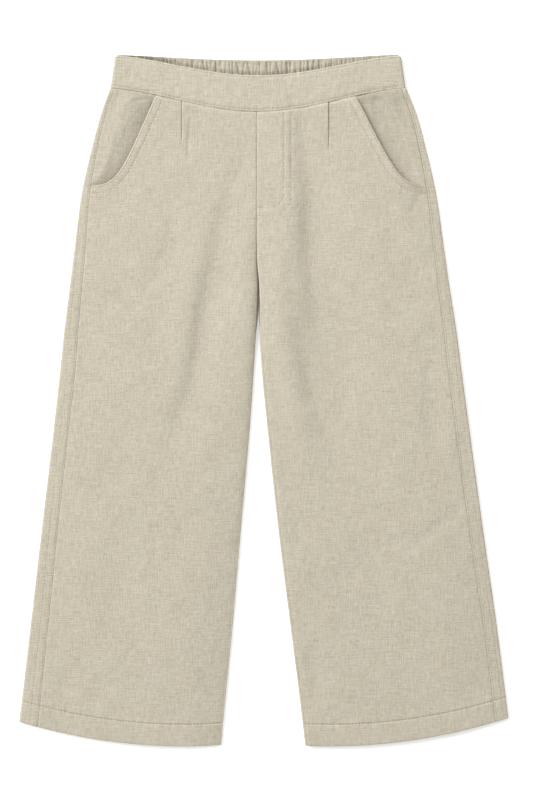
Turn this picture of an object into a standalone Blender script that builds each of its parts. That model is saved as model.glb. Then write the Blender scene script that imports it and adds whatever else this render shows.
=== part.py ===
"""Child's wide-leg linen trousers, laid flat on a surface with the front up.

+X is the wearer's left, +Y points from the hems to the waist, +Z is up. The origin is on the surface,
under the middle of the garment's outline. "down" is the distance below the waistband's top corners and
"across" the distance from the centre line on either side. Sizes are millimetres until a piece is made.
"""

import math
from collections import namedtuple

import bmesh
import bpy
import numpy as np

MM = 0.001

# Cloth and seams
WALL = 1.2
SEAM_GAP = 0.3
HALF_GAP = SEAM_GAP / 2

# Waist: the front dips below the back, so the gathered inside of the back shows above it
WAIST_HALF_TOP = 129.0
WAIST_HALF_SEAM = 132.9
WAIST_SEAM_INSET = 4.5
DIP_HALF_SPAN = 148.0
FRONT_TOP_DIP = 20.0
FRONT_SEAM_SIDE = 30.8
FRONT_SEAM_DIP = 21.7
BACK_TOP_DIP = 6.0
BACK_SEAM_DIP = 7.2

# Heights above the surface
LAID_TOP = 5.0
SEAM_TOP = 5.7
BAND_TOP = 6.1
BAND_WALL = 2.2
LOWEST_TOP = 2 * WALL + 0.4
HIGHEST_TOP = 2 * WALL + 3.9
EDGE_MIDDLE = 2.2
TOP_ROUNDING = 6.0
UNDER_ROUNDING = 3.0

# Hem: an arc on each leg, with a turned-up allowance behind it
HEM_LOWEST = 623.0
HEM_LOWEST_ACROSS = 65.0
HEM_RADIUS = 510.0
HEM_DEPTH = 20.0
HEM_EXTRA = 0.8
HEM_LIFT = 0.35
BACK_HEM_SHORT = 1.0

# Fork: the fronts part here, the backs a little lower
FRONT_FORK = 199.0
BACK_FORK = 240.0
FORK_RUN = 38.0
BACK_SEAM_SHIFT = 0.5

# Slant pocket
MOUTH_BOTTOM = 118.0
MOUTH_TOP_LEAN = 0.47
MOUTH_TOP_HANDLE = 0.8
MOUTH_END_HANDLE = 1.1
MOUTH_HEM = 7.0
MOUTH_EXTRA = 0.8
MOUTH_LIFT = 0.4
POCKET_UNDERLAP = 12.0

# Pleats, and the mock fly cut in one with the left front and folded in behind it
PLEAT_DEPTH = 13.0
PLEAT_RISE = 0.9
PLEAT_EDGE = 0.35
PLEAT_GROOVE = 0.7
FLY_WIDTH = 31.5
FLY_BOTTOM = 147.5
FLY_CORNER = 20.0
FLY_EXTRA = 1.0
FLY_LIFT = 0.5
FLY_EDGE = 0.5

# Elastic gathers of the back waistband
GATHER_COUNT = 42
GATHER_HALF_RUN = 119.0
GATHER_BASE = 1.9
GATHER_RISE = 1.7
GATHER_UNDER = 0.8
GATHER_STEPS = 4
BACK_GATHERS = 9
BACK_GATHER_DEPTH = 0.9
BACK_GATHER_RUN = 75.0

LINEN = (0.61, 0.56, 0.45, 1.0)

Side = namedtuple("Side", "name sign mouth_top pleat_across pleat_bottom")
RIGHT = Side("right", -1, 92.3, 67.9, 84.0)
LEFT = Side("left", 1, 88.5, 63.1, 89.0)

# Outline of the legs: outer edge, how far in from it the side seam lies, and the inner edge
Station = namedtuple("Station", "down edge_right edge_left inset_right inset_left inner_right inner_left")
STATIONS = (
    Station(30, 132.9, 132.9, 4.5, 4.5, 1.0, -1.0),
    Station(51, 140.4, 141.3, 5.0, 5.0, 1.0, -1.0),
    Station(87, 150.3, 151.2, 5.5, 6.0, 1.0, -1.0),
    Station(123, 158.4, 159.3, 6.8, 7.8, 1.0, -1.0),
    Station(177, 165.6, 167.4, 9.5, 9.5, 1.0, -1.0),
    Station(203, 168.8, 171.2, 10.3, 10.3, 1.0, -0.6),
    Station(249, 174.6, 178.2, 11.5, 11.5, 1.3, 0.6),
    Station(285, 178.3, 183.2, 12.0, 12.2, 4.0, 3.6),
    Station(339, 184.2, 190.5, 12.0, 12.5, 7.9, 8.4),
    Station(429, 195.0, 202.7, 13.5, 12.5, 15.5, 18.2),
    Station(519, 205.4, 215.4, 15.5, 12.0, 23.4, 29.4),
    Station(601, 215.1, 225.7, 16.5, 12.0, 31.3, 39.8),
    Station(624, 217.8, 228.4, 16.7, 12.0, 33.5, 42.4),
)

# Largest folds of the fronts: a ridge has a positive rise and a trough a negative one
Fold = namedtuple("Fold", "side start_down end_down start_across middle_across end_across rise reach")
FOLDS = (
    Fold("right", 95, 365, 13, 43, 78, -2.1, 11),
    Fold("right", 95, 350, 32, 59, 94, 0.9, 13),
    Fold("right", 170, 350, 17, 23, 30, 0.8, 10),
    Fold("right", 82, 180, 66, 68, 80, -0.7, 6),
    Fold("right", 125, 240, 87, 96, 104, -0.6, 9),
    Fold("right", 400, 590, 118, 130, 150, -0.7, 20),
    Fold("right", 420, 585, 66, 70, 80, 0.5, 22),
    Fold("left", 75, 350, 24, 17, 25, 1.0, 9),
    Fold("left", 80, 390, 44, 53, 76, -2.2, 13),
    Fold("left", 120, 385, 72, 78, 101, 0.7, 16),
    Fold("left", 200, 380, 130, 139, 147, -0.7, 10),
    Fold("left", 89, 175, 64, 66, 74, -0.6, 6),
    Fold("left", 410, 590, 96, 100, 120, -0.8, 22),
    Fold("left", 430, 590, 158, 170, 182, 0.4, 18),
)

# Rows by the distance down the side seam: a back's beside the pocket, then those that both panels share
HIP_ROWS = (38, 51, 68, 87, 105, 118)
FLY_ROWS = (123, 129.5, 134, 138, 140.5, 142, 143.6)
LEG_ROWS = FLY_ROWS + (155, 170, 187, 205, 222, 239, 256, 273, 295, 330, 375, 420, 470, 520, 560)
MOUTH_ROWS = (0.0, 0.12, 0.24, 0.36, 0.47, 0.57, 0.67, 0.77, 0.88, 1.0)


def smooth(share):
    """0 at 0 and below, 1 at 1 and above, and an even S between."""
    share = np.clip(share, 0.0, 1.0)
    return share * share * (3 - 2 * share)


def through(column, down):
    """A column of STATIONS at any distance down, on a smooth curve through its rows."""
    rows = np.array([row.down for row in STATIONS], float)
    values = np.array([getattr(row, column) for row in STATIONS], float)
    slopes = np.gradient(values, rows)
    down = np.clip(down, rows[0], rows[-1])
    low = np.clip(np.searchsorted(rows, down) - 1, 0, len(rows) - 2)
    span = rows[low + 1] - rows[low]
    t = (down - rows[low]) / span
    start = values[low] * (1 + 2 * t) * (1 - t) ** 2 + slopes[low] * span * t * (1 - t) ** 2
    end = values[low + 1] * t * t * (3 - 2 * t) - slopes[low + 1] * span * t * t * (1 - t)
    return start + end


def edge(side, down):
    return through("edge_" + side.name, down)


def side_seam(side, down):
    return edge(side, down) - through("inset_" + side.name, down)


def inner(side, down):
    return through("inner_" + side.name, down)


def back_inner(side, down):
    """Inner edge of a back: the centre back seam lies beside the centre front's until the legs part."""
    parted = smooth((down - BACK_FORK + 15) / 30.0)
    return inner(side, down) * parted + side.sign * BACK_SEAM_SHIFT * (1 - parted)


def dip(across):
    """Share of a waist curve's dip: 1 at the centre, falling to 0 past the sides."""
    return np.cos(math.pi * across / (2 * DIP_HALF_SPAN)) ** 2


def front_top(across):
    return FRONT_TOP_DIP * dip(across)


def front_seam(across):
    return FRONT_SEAM_SIDE + FRONT_SEAM_DIP * dip(across)


def back_top(across):
    return BACK_TOP_DIP * dip(across) ** 0.7


def back_seam(across):
    return FRONT_SEAM_SIDE + BACK_SEAM_DIP * dip(across)


def hem(across):
    return HEM_LOWEST - (across - HEM_LOWEST_ACROSS) ** 2 / (2 * HEM_RADIUS)


def mouth(side, t):
    """(across, down) of the pocket mouth, from the waist seam at t 0 to the side seam at t 1.

    A slant line runs into a round corner that ends square to the side seam.
    """
    top = np.array([side.mouth_top, front_seam(side.mouth_top)])
    bottom = np.array([side_seam(side, MOUTH_BOTTOM), MOUTH_BOTTOM])
    corner = np.array([top[0] + MOUTH_TOP_LEAN * (bottom[1] - top[1]), bottom[1]])
    first = top + MOUTH_TOP_HANDLE * (corner - top)
    second = bottom + MOUTH_END_HANDLE * (corner - bottom)
    t = np.asarray(t, float)[..., None]
    point = (1 - t) ** 3 * top + t**3 * bottom
    point = point + 3 * t * (1 - t) * ((1 - t) * first + t * second)
    return point[..., 0], point[..., 1]


def mouth_distance(side, across, down):
    """Distance from the pocket mouth in plan."""
    line_across, line_down = mouth(side, np.linspace(0, 1, 80))
    gaps = np.hypot(across[..., None] - line_across, down[..., None] - line_down)
    return gaps.min(axis=-1)


def fold_height(side, across, down):
    height = np.zeros_like(across)
    for fold in FOLDS:
        if fold.side != side.name:
            continue
        t = (down - fold.start_down) / (fold.end_down - fold.start_down)
        line = (
            fold.start_across * (1 - t) * (1 - 2 * t)
            + fold.middle_across * 4 * t * (1 - t)
            + fold.end_across * t * (2 * t - 1)
        )
        fade = np.sin(math.pi * np.clip(t, 0, 1))
        height += fold.rise * fade * np.exp(-(((across - line) / fold.reach) ** 2))
    return height


def pleat_height(side, across, down):
    """The pleat's upper layer: a step at its folded edge, fading towards the centre, and a groove outside it."""
    inward = side.pleat_across - across
    step = smooth((inward + PLEAT_EDGE) / (2 * PLEAT_EDGE))
    step *= np.exp(-((np.maximum(inward, 0) / PLEAT_DEPTH) ** 2))
    groove = np.clip(1 - np.abs(inward + PLEAT_EDGE) / (2 * PLEAT_EDGE), 0, 1)
    return (PLEAT_RISE * step - PLEAT_GROOVE * groove) * smooth((side.pleat_bottom - down) / 30.0)


def fly_reach(down):
    """Outer edge of the mock fly: straight down, then a round corner; below it, it eases back out."""
    drop = np.clip((down - (FLY_BOTTOM - FLY_CORNER)) / FLY_CORNER, 0, 1)
    rounding = 1 - np.sqrt(1 - drop**2)
    return FLY_WIDTH - FLY_CORNER * rounding * (1 - smooth((down - FLY_BOTTOM) / 50.0))


def top_height(side, across, down):
    """Height of the fronts' outer face, away from the rounded edges of the legs."""
    below_seam = down - front_seam(across)
    height = LAID_TOP + (SEAM_TOP - LAID_TOP) * (1 - smooth(below_seam / 45.0))
    height = height + fold_height(side, across, down) + pleat_height(side, across, down)
    height += MOUTH_LIFT * np.exp(-mouth_distance(side, across, down) / 10.0)
    return np.clip(height, LOWEST_TOP, HIGHEST_TOP)


def edge_angle(distance):
    """Angle on the rounded top of an edge, 0 at its outermost point and a right angle past the rounding."""
    return np.arccos(np.clip(1 - distance / TOP_ROUNDING, 0.0, 1.0))


def on_front(side, across, down, curl=0.0, curl_angle=math.pi / 2, wall=WALL, lift=0.0):
    """Outer and inner (across, down, height) of the garment's upper side at plan points.

    The height follows the rounding of the leg's outer edge and, by the share curl, that of its inner edge.
    """
    angle = edge_angle(edge(side, down) - across)
    height = top_height(side, across, down) + lift
    height = EDGE_MIDDLE + (height - EDGE_MIDDLE) * np.sin(angle)
    height = height - (height - EDGE_MIDDLE - HALF_GAP) * (1 - np.sin(curl_angle)) * curl
    inner_angle = math.pi / 2 - (math.pi / 2 - curl_angle) * curl
    sideways = np.cos(angle) - np.cos(inner_angle)
    upward = np.minimum(np.sin(angle), np.sin(inner_angle))
    outer = np.stack([across, down, height], axis=-1)
    inside = np.stack([across - wall * sideways, down, height - wall * upward], axis=-1)
    return outer, inside


def row_down(side_rows, shares, across, top_curve, top_fade, hem_curve, hem_fade):
    """Distance down of each point: straight from its row's inner to its outer end, bowed at waist and hem."""
    start, end = side_rows
    first, last = across[:, :1], across[:, -1:]
    down = start + (end - start) * shares
    for curve, fade in ((top_curve, top_fade), (hem_curve, hem_fade)):
        chord = curve(first) + (curve(last) - curve(first)) * shares
        down = down + fade * (curve(across) - chord)
    return down


def front_columns(side, inner_down, inner_across, outer_across, curl):
    """(across, curl angle) of the columns of one row of a front; on the left, two of them edge the fly."""
    angles = np.radians([0, 30, 60, 90])
    curled = TOP_ROUNDING * ((1 - np.cos(angles)) * curl + angles / (math.pi / 2) * (1 - curl))
    width = outer_across - inner_across
    relax = smooth((inner_down - side.pleat_bottom) / 70.0)
    pleat = (side.pleat_across - inner_across) * (1 - relax) + 0.5 * width * relax
    half_step = PLEAT_EDGE * (1 - relax) + 0.03 * width * relax
    if side is LEFT:
        reach = fly_reach(inner_down)
        half_edge = FLY_EDGE + 3.0 * smooth((inner_down - FLY_BOTTOM) / 50.0)
        fly = [(TOP_ROUNDING + reach) / 2, reach - half_edge, reach + half_edge]
        main = np.concatenate([fly, np.linspace(reach + half_edge, pleat - half_step, 5)[1:]])
    else:
        main = np.linspace(TOP_ROUNDING, pleat - half_step, 7)[1:]
    outer = np.linspace(pleat + 3 * half_step, width - MOUTH_HEM, 5)
    last = (width - MOUTH_HEM * 0.8, width)
    across = inner_across + np.concatenate([curled, main, [pleat + half_step], outer, last])
    curl_angles = np.full(len(across), math.pi / 2)
    curl_angles[: len(angles)] = angles
    return across, curl_angles


def front_panel(side):
    """Grids of a front: pocket mouth, then side seam, on the outside; centre seam, then inseam, inside."""
    mouth_across, mouth_down = mouth(side, np.array(MOUTH_ROWS))
    hem_rows = np.array([HEM_DEPTH + 1.5, HEM_DEPTH])
    side_end = hem(side_seam(side, 605.0))
    outer_down = np.concatenate([mouth_down, LEG_ROWS, side_end - hem_rows, [side_end]])
    outer_across = np.concatenate([mouth_across, side_seam(side, outer_down[len(MOUTH_ROWS):]) - HALF_GAP])
    top, bottom = front_seam(0.0), hem(inner(side, 620.0))
    turn = top + (MOUTH_BOTTOM - mouth_down[0]) * 0.87
    upper = top + (outer_down - mouth_down[0]) / (MOUTH_BOTTOM - mouth_down[0]) * (turn - top)
    lower = turn + (outer_down - MOUTH_BOTTOM) / (side_end - MOUTH_BOTTOM) * (bottom - turn)
    inner_down = np.where(outer_down <= MOUTH_BOTTOM, upper, lower)
    curl = smooth((inner_down - FRONT_FORK + 8) / FORK_RUN)
    inner_across = inner(side, inner_down) + HALF_GAP
    columns = [front_columns(side, *row) for row in zip(inner_down, inner_across, outer_across, curl)]
    across = np.array([row[0] for row in columns])
    angles = np.array([row[1] for row in columns])
    shares = (across - across[:, :1]) / (across[:, -1:] - across[:, :1])
    top_fade = 1 - smooth((inner_down[:, None] - top) / 70.0)
    hem_fade = smooth((inner_down[:, None] - 470.0) / (bottom - 470.0))
    ends = inner_down[:, None], outer_down[:, None]
    down = row_down(ends, shares, across, front_seam, top_fade, hem, hem_fade)
    down[0] += HALF_GAP
    near_mouth = smooth((MOUTH_HEM - mouth_distance(side, across, down)) / 1.2 + 0.5)
    in_hem = smooth((HEM_DEPTH - (hem(across) - down)) / 1.5 + 0.5)
    in_fly = np.zeros(across.shape)
    if side is LEFT:
        in_fly[inner_down < FLY_BOTTOM, :6] = 1.0
    wall = WALL + MOUTH_EXTRA * near_mouth + HEM_EXTRA * in_hem * np.sin(angles) + FLY_EXTRA * in_fly
    lift = HEM_LIFT * in_hem + FLY_LIFT * in_fly
    return on_front(side, across, down, curl[:, None], angles, wall, lift)


def wrap_columns(inset):
    """Distance in from a folded edge and angle round it, over the top from the seam and then under it."""
    over = inset * (1 - np.cos(np.radians([90, 72, 54, 36, 18, 0])))
    over_angle = edge_angle(over)
    under_angle = np.radians([30, 60, 90])
    under = UNDER_ROUNDING * (1 - np.cos(under_angle))
    return over, over_angle, under, under_angle


def gather_steps(side):
    """Shares along a back's floor of its gathers' points: three to each, the gathers of uneven width."""
    widths = 1 + 0.3 * np.sin(2.2 * np.arange(BACK_GATHERS) + side.sign)
    ends = np.concatenate([[0.0], np.cumsum(widths)]) / widths.sum()
    phase = np.arange(1, 3 * BACK_GATHERS) / 3
    return np.interp(phase, np.arange(BACK_GATHERS + 1), ends)


def gather_depth(side):
    """Share of the full depth of each of those points: the middle pair of each gather rest on the surface."""
    number = np.arange(1, 3 * BACK_GATHERS)
    deep = 0.7 + 0.3 * np.sin(1.9 * number + side.sign)
    return np.where(number % 3 == 0, deep, 0.0)


def back_row(side, seam_down, inner_down, curl, hem_fade):
    """One section of a back: from the side seam on top, round the leg's edge, to the centre or the inseam."""
    inset = through("inset_" + side.name, seam_down) - HALF_GAP
    over, over_angle, under, under_angle = wrap_columns(inset)
    wrap = np.concatenate([over, under])
    seam_across = edge(side, seam_down) - inset
    wrap_down = seam_down + hem_fade * (hem(edge(side, seam_down) - wrap) - hem(seam_across))
    wrap_across = edge(side, wrap_down) - wrap
    innermost = back_inner(side, inner_down) + HALF_GAP
    phase = gather_steps(side)
    floor = wrap_across[-1] + (innermost + UNDER_ROUNDING - wrap_across[-1]) * phase
    last_angle = np.radians([90, 60, 30, 0])
    last = UNDER_ROUNDING * ((1 - np.cos(last_angle)) * curl + last_angle / (math.pi / 2) * (1 - curl))
    across = np.concatenate([wrap_across, floor, innermost + last])
    top = top_height(side, wrap_across[:6], wrap_down[:6])
    over_height = EDGE_MIDDLE + (top - EDGE_MIDDLE) * np.sin(over_angle)
    under_height = EDGE_MIDDLE * (1 - np.sin(under_angle))
    last_height = (EDGE_MIDDLE - HALF_GAP) * (1 - np.sin(last_angle)) * curl
    waist_fade = 1 - smooth((inner_down - back_seam(0.0)) / BACK_GATHER_RUN)
    grooves = BACK_GATHER_DEPTH * gather_depth(side) * waist_fade
    height = np.concatenate([over_height, under_height, grooves, last_height])
    last_lean = math.pi / 2 - (math.pi / 2 - last_angle) * curl
    level = np.full(len(floor), math.pi / 2)
    lean = np.concatenate([under_angle, level, math.pi - last_lean])
    sideways = np.concatenate([np.cos(over_angle), np.cos(lean)])
    upward = np.concatenate([np.sin(over_angle), -np.sin(lean)])
    return across, height, sideways, upward


def back_panel(side):
    """Grids of a back: it wraps round the leg's outer edge to the side seam, and lies flat on the surface."""
    side_end = hem(side_seam(side, 605.0))
    hem_rows = np.array([HEM_DEPTH + 1.5, HEM_DEPTH, 0.0])
    side_top = back_seam(side_seam(side, FRONT_SEAM_SIDE))
    seam_down = np.concatenate([[side_top], HIP_ROWS, LEG_ROWS, side_end - hem_rows])
    top, bottom = back_seam(0.0), hem(inner(side, 620.0)) - BACK_HEM_SHORT
    travel = (seam_down - seam_down[0]) / (seam_down[-1] - seam_down[0])
    inner_down = top + travel * (bottom - top)
    curl = smooth((inner_down - BACK_FORK) / FORK_RUN)
    hem_fade = smooth((inner_down - 470.0) / (bottom - 470.0))
    rows = [back_row(side, *row) for row in zip(seam_down, inner_down, curl, hem_fade)]
    across, height, sideways, upward = (np.array(part) for part in zip(*rows))
    innermost, seam_across = across[:, -1:], across[:, :1]
    shares = np.clip((across - innermost) / (seam_across - innermost), 0.0, 1.0)
    down = inner_down[:, None] + (seam_down - inner_down)[:, None] * shares
    top_fade = 1 - smooth((inner_down - top) / 60.0)
    for curve, fade in ((back_seam, top_fade), (hem, hem_fade)):
        chord = curve(innermost) + (curve(seam_across) - curve(innermost)) * shares
        down = down + fade[:, None] * (curve(across) - chord)
    down[0] = back_seam(across[0]) + HALF_GAP
    in_hem = smooth((HEM_DEPTH - (hem(across) - down)) / 1.5 + 0.5)
    flat = np.clip(np.abs(upward) * 4 - 3, 0, 1)
    height = height + HEM_LIFT * in_hem * np.clip(upward, 0, 1)
    wall = WALL + HEM_EXTRA * in_hem * flat
    outer = np.stack([across, down, height], axis=-1)
    inside = np.stack([across - wall * sideways, down, height - wall * upward], axis=-1)
    return outer, inside


def waistband_front():
    """Grids of the plain front band: signed across, from one side seam to the other."""
    rise = np.array([0.0, 0.03, 0.12, 0.9, 0.97, 1.0])[:, None]
    rounding = np.array([0.7, 0.15, 0.0, 0.0, 0.1, 0.4])[:, None]
    half = WAIST_HALF_TOP + (WAIST_HALF_SEAM - WAIST_HALF_TOP) * rise - WAIST_SEAM_INSET - HALF_GAP
    across = np.linspace(-1, 1, 35)[None, :] * half
    distance = np.abs(across)
    down = front_top(distance) + (front_seam(distance) - HALF_GAP - front_top(distance)) * rise
    angle = edge_angle(WAIST_HALF_TOP + (WAIST_HALF_SEAM - WAIST_HALF_TOP) * rise - distance)
    height = EDGE_MIDDLE + (BAND_TOP - EDGE_MIDDLE) * np.sin(angle) - rounding
    under = BAND_TOP - BAND_WALL + 0.5 * rounding
    outer = np.stack([across, down, height], axis=-1)
    inside = np.stack([across, down, np.broadcast_to(under, across.shape)], axis=-1)
    return outer, inside


def gather_lines():
    """Across position of each gather's samples at the band's top and bottom, and each sample's phase.

    The gathers are of uneven width and lean a little either way.
    """
    number = np.arange(GATHER_COUNT)
    widths = 1 + 0.28 * np.sin(2.4 * number + 0.5) + 0.17 * np.sin(5.1 * number)
    starts = np.concatenate([[0.0], np.cumsum(widths)]) / widths.sum()
    phase = np.arange(GATHER_COUNT * GATHER_STEPS + 1) / GATHER_STEPS
    along = np.interp(phase, np.arange(GATHER_COUNT + 1), starts)
    across = (2 * along - 1) * GATHER_HALF_RUN
    ends = np.sqrt(np.clip(np.sin(math.pi * along), 0, 1))
    lean = 1.5 * np.sin(1.7 * phase) * ends
    return across - lean, across + lean, phase


def waistband_back():
    """Grids of the back band: from the right side seam round under the garment to the left one."""
    rise = np.array([0.0, 0.07, 0.5, 1.0])
    relief = np.array([0.35, 1.0, 1.0, 0.7])
    at_top, at_bottom, phase = gather_lines()
    ridge = np.abs(np.sin(math.pi * phase)) ** 0.7
    strength = 1 + 0.25 * np.sin(2.9 * np.floor(phase))
    over, over_angle, under, under_angle = wrap_columns(WAIST_SEAM_INSET - HALF_GAP)
    wrap_angle = np.concatenate([over_angle, under_angle])
    over_height = EDGE_MIDDLE + (BAND_TOP - EDGE_MIDDLE) * np.sin(over_angle)
    wrap_height = np.concatenate([over_height, EDGE_MIDDLE * (1 - np.sin(under_angle))])
    wrap_up = np.concatenate([np.sin(over_angle), -np.sin(under_angle)])
    outer_rows, inner_rows = [], []
    for share, shape in zip(rise, relief):
        outermost = WAIST_HALF_TOP + (WAIST_HALF_SEAM - WAIST_HALF_TOP) * share
        wrap = outermost - np.concatenate([over, under])
        flat = at_top + (at_bottom - at_top) * share
        across = np.concatenate([-wrap, flat, wrap[::-1]])
        down = back_top(across) + (back_seam(across) - HALF_GAP - back_top(across)) * share
        grooves = GATHER_UNDER * (1 - np.minimum(1, 3 * ridge * strength))
        height = np.concatenate([wrap_height, grooves, wrap_height[::-1]])
        thick = GATHER_BASE + GATHER_RISE * shape * np.clip(ridge * strength, 0, 1)
        wrap_in = wrap - WALL * np.cos(wrap_angle)
        wrap_in_height = wrap_height - WALL * wrap_up
        outer_rows.append(np.stack([across, down, height], axis=-1))
        inner_across = np.concatenate([-wrap_in, flat, wrap_in[::-1]])
        inner_height = np.concatenate([wrap_in_height, thick, wrap_in_height[::-1]])
        inner_rows.append(np.stack([inner_across, down, inner_height], axis=-1))
    return np.array(outer_rows), np.array(inner_rows)


def pocket_back(side):
    """Grids of the piece that shows in a pocket mouth: deep at the mouth, level with the side seam outside."""
    top = front_seam(side.mouth_top) + HALF_GAP
    bottom = MOUTH_BOTTOM + POCKET_UNDERLAP
    outer_down = np.array([FRONT_SEAM_SIDE + 1, 42, 55, 70, 85, 98, 108, 114, 117.7, 123, bottom])
    line_across, line_down = mouth(side, np.linspace(0, 1, 80))
    start_down = top + (outer_down - outer_down[0]) / (bottom - outer_down[0]) * (bottom - top)
    start = np.interp(start_down, line_down, line_across) - POCKET_UNDERLAP
    start = np.minimum(start, 130.0 - POCKET_UNDERLAP)
    end = side_seam(side, outer_down) - HALF_GAP
    under = np.array([0.0, 0.5, 1.0]) * POCKET_UNDERLAP
    seen = np.array([0.15, 0.35, 0.55, 0.78, 1.0])
    rest = (end - start - POCKET_UNDERLAP)[:, None] * seen
    under = np.broadcast_to(under, (len(rest), len(under)))
    across = start[:, None] + np.concatenate([under, POCKET_UNDERLAP + rest], axis=1)
    shares = (across - start[:, None]) / (end - start)[:, None]
    down = start_down[:, None] + (outer_down - start_down)[:, None] * shares
    down[0] = front_seam(across[0]) + HALF_GAP
    line = np.interp(np.minimum(down, MOUTH_BOTTOM), line_down, line_across)
    inside = np.where((across > line) & (down < MOUTH_BOTTOM), 1.0, 0.0)
    reach = mouth_distance(side, across, down) * inside
    run = 5.0 + 10.0 * smooth((down - front_seam(across)) / 25.0)
    sunk = WALL + MOUTH_EXTRA + SEAM_GAP + 0.15
    return on_front(side, across, down, lift=-sunk * (1 - smooth(reach / run)))


def linen():
    material = bpy.data.materials.new("linen")
    material.use_nodes = True
    shader = material.node_tree.nodes["Principled BSDF"]
    shader.inputs["Base Color"].default_value = LINEN
    shader.inputs["Roughness"].default_value = 0.9
    shader.inputs["Metallic"].default_value = 0.0
    return material


def make_piece(name, grids, middle, material):
    """A closed wall between an outer and an inner grid of points, made an object."""
    mesh = bmesh.new()
    outer = [[mesh.verts.new(place * MM) for place in row] for row in grids[0] - middle]
    inside = [[mesh.verts.new(place * MM) for place in row] for row in grids[1] - middle]
    rows, columns = len(outer), len(outer[0])
    for i in range(rows - 1):
        for j in range(columns - 1):
            for layer in (outer, inside):
                mesh.faces.new((layer[i][j], layer[i][j + 1], layer[i + 1][j + 1], layer[i + 1][j]))
    round_edge = [(0, j) for j in range(columns)]
    round_edge += [(i, columns - 1) for i in range(1, rows)]
    round_edge += [(rows - 1, j) for j in range(columns - 2, -1, -1)]
    round_edge += [(i, 0) for i in range(rows - 2, 0, -1)]
    for (i, j), (k, m) in zip(round_edge, round_edge[1:] + round_edge[:1]):
        mesh.faces.new((outer[i][j], outer[k][m], inside[k][m], inside[i][j]))
    bmesh.ops.recalc_face_normals(mesh, faces=mesh.faces)
    data = bpy.data.meshes.new(name)
    mesh.to_mesh(data)
    mesh.free()
    data.shade_smooth()
    data.set_sharp_from_angle(angle=math.radians(40))
    data.materials.append(material)
    piece = bpy.data.objects.new(name, data)
    bpy.context.scene.collection.objects.link(piece)
    return piece


def main():
    for old in list(bpy.data.objects):
        bpy.data.objects.remove(old)
    cloth = linen()
    pieces = []
    for side in (RIGHT, LEFT):
        turn = np.array([side.sign, -1, 1])
        pieces.append(("front_" + side.name, np.array(front_panel(side)) * turn))
        pieces.append(("back_" + side.name, np.array(back_panel(side)) * turn))
        pieces.append(("pocket_back_" + side.name, np.array(pocket_back(side)) * turn))
    turn = np.array([1, -1, 1])
    pieces.append(("waistband_front", np.array(waistband_front()) * turn))
    pieces.append(("waistband_back", np.array(waistband_back()) * turn))
    points = np.concatenate([grids.reshape(-1, 3) for _, grids in pieces])
    middle = (points.min(axis=0) + points.max(axis=0)) / 2
    middle[2] = 0.0
    for name, grids in pieces:
        make_piece(name, grids, middle, cloth)


main()
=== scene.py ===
# Child's wide-leg linen trousers with a mock fly, slant pockets and an elastic back, laid flat, front up.
# Garment measures are in mm: "across" from the centre line to either side, "down" from the band's corners.
import math

import bpy
import numpy as np
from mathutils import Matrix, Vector


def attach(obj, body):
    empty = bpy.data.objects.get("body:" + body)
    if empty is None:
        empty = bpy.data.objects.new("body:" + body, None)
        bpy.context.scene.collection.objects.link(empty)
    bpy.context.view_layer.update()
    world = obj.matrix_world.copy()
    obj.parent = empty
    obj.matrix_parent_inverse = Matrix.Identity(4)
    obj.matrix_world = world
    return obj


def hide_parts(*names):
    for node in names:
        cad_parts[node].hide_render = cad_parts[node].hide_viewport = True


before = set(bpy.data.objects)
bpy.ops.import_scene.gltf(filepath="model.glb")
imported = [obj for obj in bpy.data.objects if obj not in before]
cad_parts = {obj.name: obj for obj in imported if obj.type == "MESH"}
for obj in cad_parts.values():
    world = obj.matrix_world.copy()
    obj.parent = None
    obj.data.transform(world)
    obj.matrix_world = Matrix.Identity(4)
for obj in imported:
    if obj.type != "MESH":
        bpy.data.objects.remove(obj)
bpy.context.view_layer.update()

mm = 0.001

# ---- measures that several pieces share
garment = dict(
    middleAcross=5.107341, middleDown=311.803281,  # where the frame's origin lies on the garment
    clothWall=0.8, foldedWall=1.7, halfGap=0.07,
    laidTop=5.0, seamTop=5.7, lowestTop=2.7, edgeMiddle=2.2, topRounding=1.1, underRounding=3.0,
    waistHalfTop=129.0, waistHalfSeam=132.9, waistInset=0.5, seamDown=30.8,
    dipSpan=148.0, frontTopDip=20.0, frontSeamDip=21.7, backTopDip=6.0, backSeamDip=7.2,
    hemEaseTop=470.0, hemEaseSpare=30.0,
    hemDepth=19.5, hemLowest=623.0, hemLowestAcross=65.0, hemRadius=510.0,
    hemEnds=(605.0, 620.0), hemRowEnds=(590.0, 600.0),  # down where hem ends are read, outside and inside
    frontFork=191.0, backFork=240.0, forkRun=38.0, backSeamShift=0.5,
    mouthBottom=118.9, mouthHandles=(0.84, 1.12),
)
rightSide = dict(
    name="Right", which=0, sign=-1, offset=0.0,
    mouthTop=91.4, mouthLean=0.45, pleatAcross=67.9, pleatBottom=84.0,
)
leftSide = dict(
    name="Left", which=1, sign=1, offset=3.7,
    mouthTop=87.6, mouthLean=0.515, pleatAcross=63.1, pleatBottom=89.0,
)

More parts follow.
